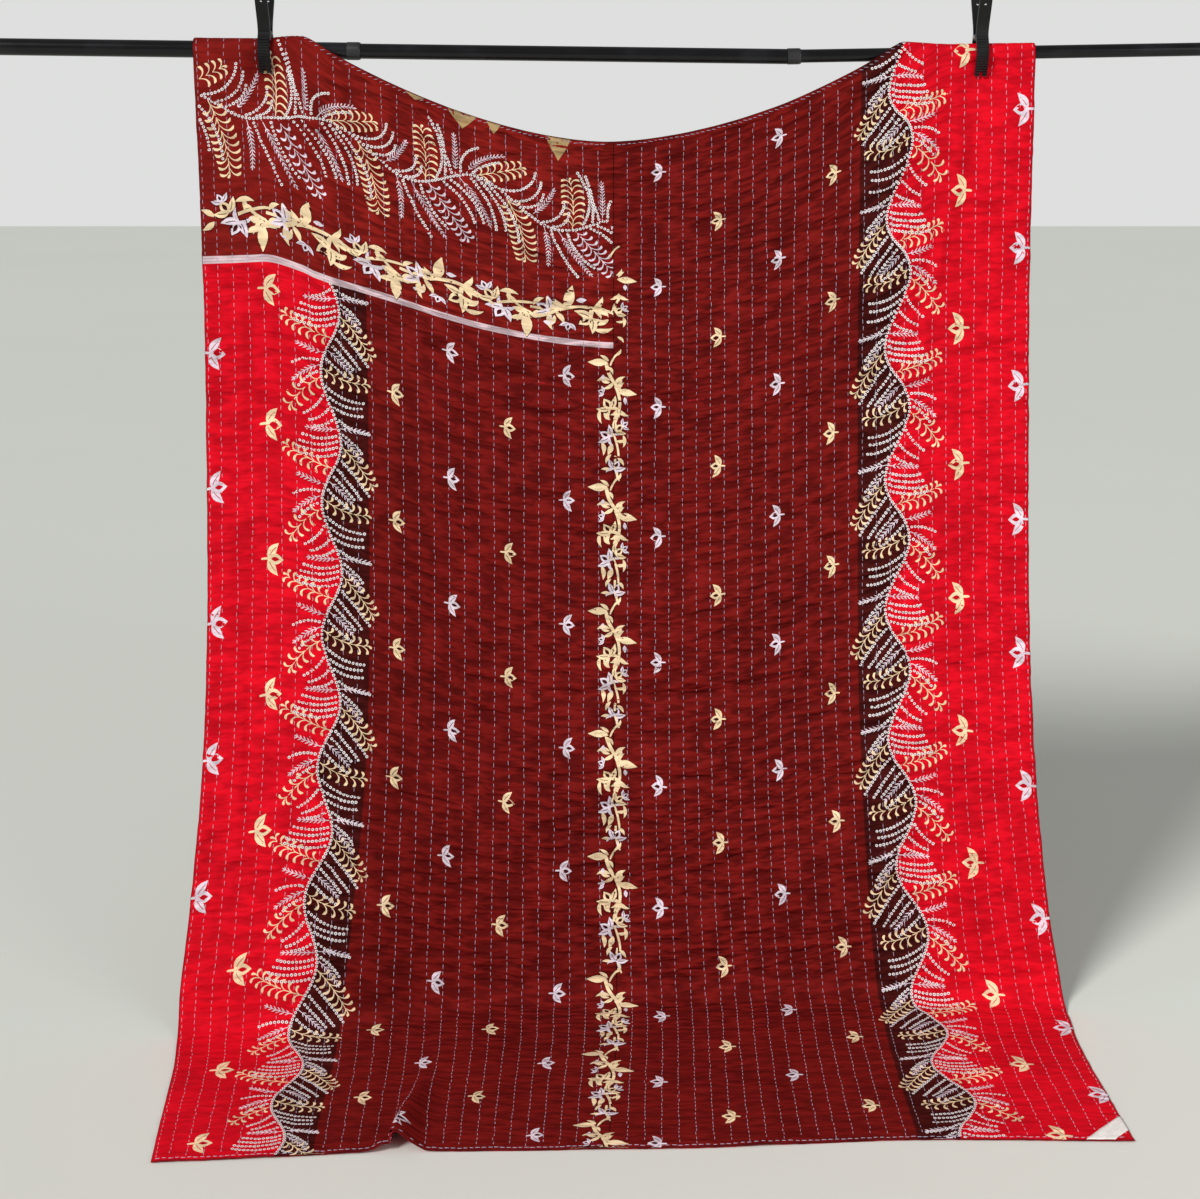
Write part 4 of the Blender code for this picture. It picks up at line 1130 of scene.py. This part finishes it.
def thread_material(name, colour):
    made, n, shader = new_material(name, 0.65, 0.3, 0.2)
    twist = n.noise(n.place(), (900.0, 900.0, 2600.0))
    patch = n.noise(n.place(), 60.0, 1.0)
    shade = n.times(twist, 0.5, n.times(patch, 0.4, 0.45))
    n.put(shader["Base Color"], n.mix(n.step(shade, 0.55, 1.0), times_colour(colour, 0.45), colour))
    n.put(shader["Normal"], n.bump(twist, 0.5, 0.0002))
    return made


def hard_material(name, colour, roughness, specular, grain, bump, metallic=0.0, ribs_below=None):
    """Enamel, plastic or metal with fine grain, and raised ribs below a height where it has them."""
    made, n, shader = new_material(name, roughness, specular, metallic=metallic)
    cloudy = n.noise(n.place(), 14.0)
    lighter = tuple(min(1.0, c * 2.2 + 0.004) for c in colour[:3]) + (1.0,)
    n.put(shader["Base Color"], n.mix(n.step(cloudy, 0.45, 0.8), colour, lighter))
    n.put(shader["Roughness"], n.times(cloudy, 0.16, roughness - 0.08))
    normal = n.bump(n.noise(n.place(), grain, 3.0, 0.6), bump, 0.0001)
    if ribs_below:
        height = n.parts(n.place())["Z"]
        wave = n.math("SINE", n.times(height, 2 * math.pi / RIB_PITCH))
        shown = n.step(height, ribs_below, ribs_below - 0.002, 0.0, RIB_HEIGHT)
        normal = n.bump(n.times(wave, shown), Normal=normal)
    n.put(shader["Normal"], normal)
    return made


# ---- quilt
def build_quilt():
    """The front panels and the backing: for each side its layer and its piece."""

    def length_rows(step):
        return with_edge_rows(np.linspace(0.0, FLAT_LENGTH, round(FLAT_LENGTH / step) + 1), EDGE_ROLL)

    seam = np.array([GAP / 2, 0.0006, 0.0016])
    left_us = np.linspace(FLAT_LEFT, -GAP / 2, LEFT_LINES * CELLS_PER_SPACE + 1)
    right_us = np.linspace(GAP / 2, FLAT_RIGHT, RIGHT_LINES * CELLS_PER_SPACE + 1)
    left_us = np.array([*with_edge_rows(left_us, EDGE_ROLL)[:-3], *-seam[::-1]])
    right_us = np.array([*seam, *with_edge_rows(right_us, EDGE_ROLL)[3:]])
    back_left = np.linspace(FLAT_LEFT, 0, 2 * LEFT_LINES + 1)
    back_right = np.linspace(0, FLAT_RIGHT, 2 * RIGHT_LINES + 1)[1:]
    back_us = with_edge_rows(np.concatenate([back_left, back_right]), EDGE_ROLL)
    left_colour, right_colour = panel_colour(LEFT_WAVE, True), panel_colour(RIGHT_WAVE, False)
    rows = length_rows(ROW_STEP)
    layers = (  # side, name, slot, node, layer, finish
        (
            "left", "left_panel_cloth", "left_print", "left_panel",
            layer(left_us, rows, FRONT_THICKNESS, True),
            cotton_material("left panel print", left_colour, calm=LEFT_WAVE),
        ),
        (
            "right", "right_panel_cloth", "right_print", "right_panel",
            layer(right_us, rows, FRONT_THICKNESS, True),
            cotton_material("right panel print", right_colour, calm=RIGHT_WAVE),
        ),
        (
            "back", "backing_sheet", "backing_cloth", "backing",
            layer(back_us, length_rows(BACKING_ROW_STEP), BACK_THICKNESS, False),
            cotton_material("backing cotton", one_colour((0.42, 0.012, 0.022, 1.0)), 0.2),
        ),
    )
    return {
        side: (cloth, piece(name, cloth.mesh(name), [finish], stands_for=node))
        for side, name, slot, node, cloth, finish in layers
    }


def build_prints(left, right):
    """Every printed piece, listed for the side whose sheet carries it."""
    finishes = {
        key: cotton_material(name, one_colour(colour), fading, ripple)
        for key, name, colour, fading, ripple in (
            ("cream", "cream print", CREAM, 0.2, 0.55),
            ("white", "lilac white print", LILAC, 0.2, 0.55),
            ("ink", "dark print", INK, 0.2, 0.55),
            ("red eye", "red print", RED_EYE, 0.2, 0.55),
            ("beige", "beige print", BEIGE, 0.4, 0.6),
        )
    }
    inputs = {
        "Radius": DOT_RADIUS,
        "Thickness": PRINT_DEPTH,
        "Ring": speckled_material("white dots", (0.95, 0.90, 0.90, 1.0)),
        "Middle": speckled_material("dark dots", INK),
    }
    tree, buds, band = dots_tree(), scattered_buds(), end_band()
    made = {"left": [], "right": []}

    def printed(side, name, shapes, cloth, keep):
        mesh = shapes.mesh(name, cloth, finishes, keep)
        made[side].append(piece(name, mesh, finishes.values()))

    below_band = flat_keep(-1, -0.0005, END_BAND + 0.012, 3)
    for side, cloth, wave, top, keep in (
        ("left", left, LEFT_WAVE, END_BAND + 0.008, below_band),
        ("right", right, RIGHT_WAVE, 0.006, flat_keep(0.0005, 1, 0.004, 3)),
    ):
        border = wave_border(wave, top)
        printed(side, f"{side}_border_print", border, cloth, keep)
        printed(side, f"{side}_field_print", buds, cloth, keep)
        dots, low, high = border.dots, 0.004, FLAT_RIGHT - 0.006
        if side == "right":
            shown = lambda u, v: (u > 0.003) | (v > END_BAND + 0.010)
            printed(side, "seam_vine_print", seam_vine(), joined(left, right), shown)
        else:
            band.placed(top_wedges(), 0, 0)
            inside = flat_keep(FLAT_LEFT, -0.002, 0.0, END_BAND - 0.010)
            printed(side, "end_band_print", band, cloth, inside)
            dots = dots + [d for d in band.dots if d[1] < END_BAND - 0.012 and d[0] < -0.004]
            low, high = FLAT_LEFT + 0.006, -0.004
        u, v = np.array([d for d in dots if low < d[0] < high and 0.004 < d[1] < FLAT_LENGTH - 0.004]).T
        chance = np.random.default_rng(31)
        sizes = np.repeat(chance.uniform(0.86, 1.08, (len(u), 1)), 3, axis=1)
        sizes[:, 2] = 1.0
        place, normal, down = cloth.at(u, v, PRINT_RISE - PRINT_DEPTH / 2)
        name, slot = f"{side}_ring_dots", f"{side}_print"
        made[side].append(scattered(name, tree, place, normal, down, sizes, inputs))
    return made


def stitch_points(lines, ends, chance):
    """Flat places of stitches along lines of constant u, between the two ends."""
    flat = []
    for u in lines:
        v = ends[0] + chance.uniform(0.0, STITCH_PITCH)
        while v < ends[1]:
            flat.append((u + chance.normal(0, 0.0005), v, chance.uniform(0.82, 1.14)))
            v += STITCH_PITCH * chance.uniform(0.90, 1.10)
    return np.array(flat)


def build_stitches(cloths):
    """Running stitches down the cloth and round its edges, a piece for each layer."""
    lilac = thread_material("lilac thread", (0.62, 0.55, 0.74, 1.0))
    inputs = {"Length": STITCH_LENGTH, "Width": STITCH_WIDTH, "Height": STITCH_HEIGHT, "Thread": lilac}
    tree = stitches_tree()
    left_lines = np.arange(1, LEFT_LINES) * FLAT_LEFT / LEFT_LINES
    right_lines = np.arange(1, RIGHT_LINES) * FLAT_RIGHT / RIGHT_LINES
    left_edge, right_edge = [FLAT_LEFT + EDGE_LINE], [FLAT_RIGHT - EDGE_LINE]
    made = {}
    for seed, side, slot, lines, edges in (
        (40, "left", "left_print", left_lines, left_edge),
        (41, "right", "right_print", right_lines, right_edge),
        (42, "back", "backing_cloth", np.concatenate([left_lines, right_lines]), left_edge + right_edge),
    ):
        cloth, chance = cloths[side], np.random.default_rng(seed)
        down_lines = stitch_points(lines, (0.016, FLAT_LENGTH - 0.014), chance)
        side_lines = stitch_points(edges, (0.010, FLAT_LENGTH - 0.010), chance)
        crossing = []
        for v in (EDGE_LINE, FLAT_LENGTH - EDGE_LINE):
            u = cloth.us[0] + 0.01
            while u < cloth.us[-1] - 0.01:
                crossing.append((u, v + chance.normal(0, 0.0004), chance.uniform(0.8, 1.1)))
                u += STITCH_PITCH * 0.8 * chance.uniform(0.9, 1.1)
        flat = np.concatenate([down_lines, side_lines, crossing])
        place, normal, down = cloth.at(flat[:, 0], flat[:, 1], 0.12 * STITCH_HEIGHT)
        runs_down = np.arange(len(flat)) < len(flat) - len(crossing)
        along = np.where(runs_down[:, None], down, np.cross(normal, down))
        sizes = np.column_stack([flat[:, 2], np.ones(len(flat)), np.ones(len(flat))])
        made[side] = scattered(f"{side}_stitches", tree, place, normal, along, sizes, inputs)
    return made


def build_label(right):
    """A bare strip of tape across the corner, on the right panel's face."""
    t = np.linspace(0.0, 1.0, 21)[None, :]
    reach = np.linspace(LABEL_FAR, LABEL_NEAR, 9)[:, None]
    u = FLAT_RIGHT - LABEL_INSET - reach * (1.0 - t)
    v = FLAT_LENGTH - LABEL_INSET - reach * t
    low, normal, _ = right.at(u, v, 0.0001 * np.ones_like(u))
    top = low + (0.5 * normal + np.array((0.0, 0.0, 0.5))) * LABEL_THICKNESS
    label = Cloth(np.linspace(0, 0.095, 21), np.linspace(0, 0.042, 9), top, low, normal, 1.0)
    if np.cross(top[0, 1] - top[0, 0], top[1, 0] - top[0, 0])[2] > 0:
        label.side = -1.0
    tape = cotton_material("label tape", one_colour((0.93, 0.90, 0.85, 1.0)), 0.08, 0.12)
    return piece("label_tape", label.mesh("label_tape"), [tape], stands_for="corner_label")


# ---- rod and clamps
def edited(mesh, source, job):
    """Runs job on an editable copy of the source mesh and writes the result to mesh."""
    shape = bmesh.new()
    shape.from_mesh(source)
    job(shape)
    shape.to_mesh(mesh)
    shape.free()
    mesh.shade_smooth()
    mesh.set_sharp_from_angle(angle=math.radians(40))


def lathe(name, profile, matrix, steps=72):
    """A mesh turned round its own Z axis from a closed loop of (radius, height)."""
    rings = np.array(profile, float)
    angles = np.linspace(0, 2 * math.pi, steps, endpoint=False)
    r, z = rings[:, :1], rings[:, 1:]
    points = np.stack([r * np.cos(angles), r * np.sin(angles), np.repeat(z, steps, 1)], axis=-1).reshape(-1, 3)
    index = np.arange(len(rings) * steps).reshape(len(rings), steps)
    index = np.concatenate([index, index[:1]])
    a, b = index[:-1], index[1:]
    faces = np.stack([a, np.roll(a, -1, 1), np.roll(b, -1, 1), b], axis=-1).reshape(-1, 4)
    mesh = plain_mesh(name, points, faces)
    mesh.transform(matrix)

    def tidied(shape):
        bmesh.ops.remove_doubles(shape, verts=shape.verts, dist=1e-6)
        bmesh.ops.recalc_face_normals(shape, faces=shape.faces)

    edited(mesh, mesh, tidied)
    return mesh


def rod_frame(at_x, right_half):
    if right_half:
        run, rise = ROD_HALF_LENGTH - ROD_SAG_X, ROD_RIGHT_HEIGHT - ROD_SAG_HEIGHT
    else:
        run, rise = ROD_SAG_X + ROD_HALF_LENGTH, ROD_SAG_HEIGHT - ROD_LEFT_HEIGHT
    along = Vector((run, 0.0, rise)).normalized()
    up = Vector((0.0, -1.0, 0.0))
    turn = Matrix((up.cross(along), up, along)).transposed().to_4x4()
    return Matrix.Translation((at_x, ROD_Y, float(rod_height(at_x)))) @ turn


def refinish(node, finish):
    """A CAD node keeps its shape and takes a new finish."""
    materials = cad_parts[node].data.materials
    materials.clear()
    materials.append(finish)


def build_rod():
    enamel = hard_material("black enamel", (0.004, 0.004, 0.005, 1.0), 0.22, 0.3, 900.0, 0.08)
    plastic = hard_material("black rod plastic", (0.013, 0.013, 0.014, 1.0), 0.42, 0.45, 1500.0, 0.25)
    end_x, wall, lip = ROD_HALF_LENGTH - CAP_WALL, TUBE_WALL, TUBE_LIP
    left_slope = math.hypot(1.0, (ROD_SAG_HEIGHT - ROD_LEFT_HEIGHT) / (ROD_SAG_X + ROD_HALF_LENGTH))
    right_slope = math.hypot(1.0, (ROD_RIGHT_HEIGHT - ROD_SAG_HEIGHT) / (ROD_HALF_LENGTH - ROD_SAG_X))
    for size, start, end, right_half in (
        ("wide", -end_x, STEP_X, False),
        ("middle", STEP_X - 0.040, ROD_SAG_X + 0.005, False),
        ("narrow", ROD_SAG_X - 0.005, end_x, True),
    ):
        length, r = (end - start) * (right_slope if right_half else left_slope), TUBE_RADII[size]
        outside = [(r - lip, 0.0), (r, lip), (r, length - lip), (r - lip, length)]
        profile = [*outside, (r - wall, length), (r - wall, 0.0)]
        name = f"tube_{size}_enamel"
        mesh = lathe(name, profile, rod_frame(start, right_half))
        piece(name, mesh, [enamel], stands_for=f"rod_tube_{size}")
    for node in ("rod_collar_wide", "rod_collar_middle", "rod_cap_left", "rod_cap_right"):
        refinish(node, plastic)


def build_clamps():
    black = (0.004, 0.004, 0.0045, 1.0)
    plastic = hard_material("clamp nylon", black, 0.28, 0.28, 1300.0, 0.3, ribs_below=JAW_TOP)
    steel = hard_material("clamp zinc steel", (0.40, 0.40, 0.41, 1.0), 0.36, 0.5, 1200.0, 0.2, 1.0)

    def merged(shape):
        bmesh.ops.remove_doubles(shape, verts=shape.verts, dist=2e-6)
        bmesh.ops.dissolve_limit(shape, angle_limit=math.radians(1.0), verts=shape.verts, edges=shape.edges)

    for side in CLAMP_X:
        for part in ("pin", "spring"):
            refinish(f"{side}_clamp_{part}", steel)
        for face, body in (("front", f"{side}_clamp_lever"), ("back", "hung_quilt")):
            node, name = f"{side}_clamp_{face}_lever", f"{side}_{face}_lever_moulding"
            mesh = bpy.data.meshes.new(name)
            edited(mesh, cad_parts[node].data, merged)
            made = piece(name, mesh, [plastic], body, node)
            soften = made.modifiers.new("edges", "BEVEL")
            soften.width, soften.segments = 0.0006, 2
            soften.limit_method, soften.angle_limit = "ANGLE", math.radians(40)


# ---- room, light and camera
FLOOR_REACH = 14.0


def build_room():
    floor = bpy.data.meshes.new("floor")
    corners = [(x * FLOOR_REACH, y * FLOOR_REACH, 0.0) for x, y in ((-1, -1), (1, -1), (1, 1), (-1, 1))]
    floor.from_pydata(corners, [], [(0, 1, 2, 3)])
    paint, n, shader = new_material("floor paint", 0.55, 0.25)
    patch = n.noise(n.place(), 0.7, 3.0)
    n.put(shader["Base Color"], n.mix(patch, (0.79, 0.81, 0.74, 1.0), (0.83, 0.85, 0.79, 1.0)))
    floor.materials.append(paint)
    linked("floor", floor)
    world = bpy.data.worlds.new("studio")
    bpy.context.scene.world = world
    world.use_nodes = True
    n = Nodes(world.node_tree)
    background = world.node_tree.nodes["Background"].inputs
    background["Color"].default_value = (0.96, 0.97, 0.96, 1.0)
    seen = n.add("ShaderNodeLightPath").outputs["Is Camera Ray"]
    n.put(background["Strength"], n.times(seen, 0.46, 0.30))
    for name, kind, place, way, settings in (
        ("soft key", "SUN", (0.0, 0.0, 0.0), (0.52, 0.62, -0.60), {"angle": math.radians(16), "energy": 2.35}),
        ("fill", "AREA", (3.0, -3.2, 2.2), (-3.0, 3.4, -1.4), {"size": 2.4, "energy": 40.0}),
    ):
        light = bpy.data.lights.new(name, kind)
        for key, value in settings.items():
            setattr(light, key, value)
        lamp = linked(name, light)
        lamp.location = place
        lamp.rotation_euler = Vector(way).to_track_quat("-Z", "Y").to_euler()


def build_camera():
    lens = bpy.data.cameras.new("camera")
    lens.lens, lens.sensor_width, lens.shift_y = 64.8, 36.0, -0.19
    camera = linked("camera", lens)
    camera.location = (0.0, ROD_Y - 3.6, 1.65)
    camera.rotation_euler = (math.radians(90.0 - 9.3), 0.0, 0.0)
    bpy.context.scene.camera = camera


# ---- all together
build_camera()
quilt = build_quilt()
cloths = {side: cloth for side, (cloth, _) in quilt.items()}
prints = build_prints(cloths["left"], cloths["right"])
stitches = build_stitches(cloths)
label_piece = build_label(cloths["right"])
build_rod()
build_clamps()
build_room()
bpy.context.scene.view_settings.view_transform = "Standard"
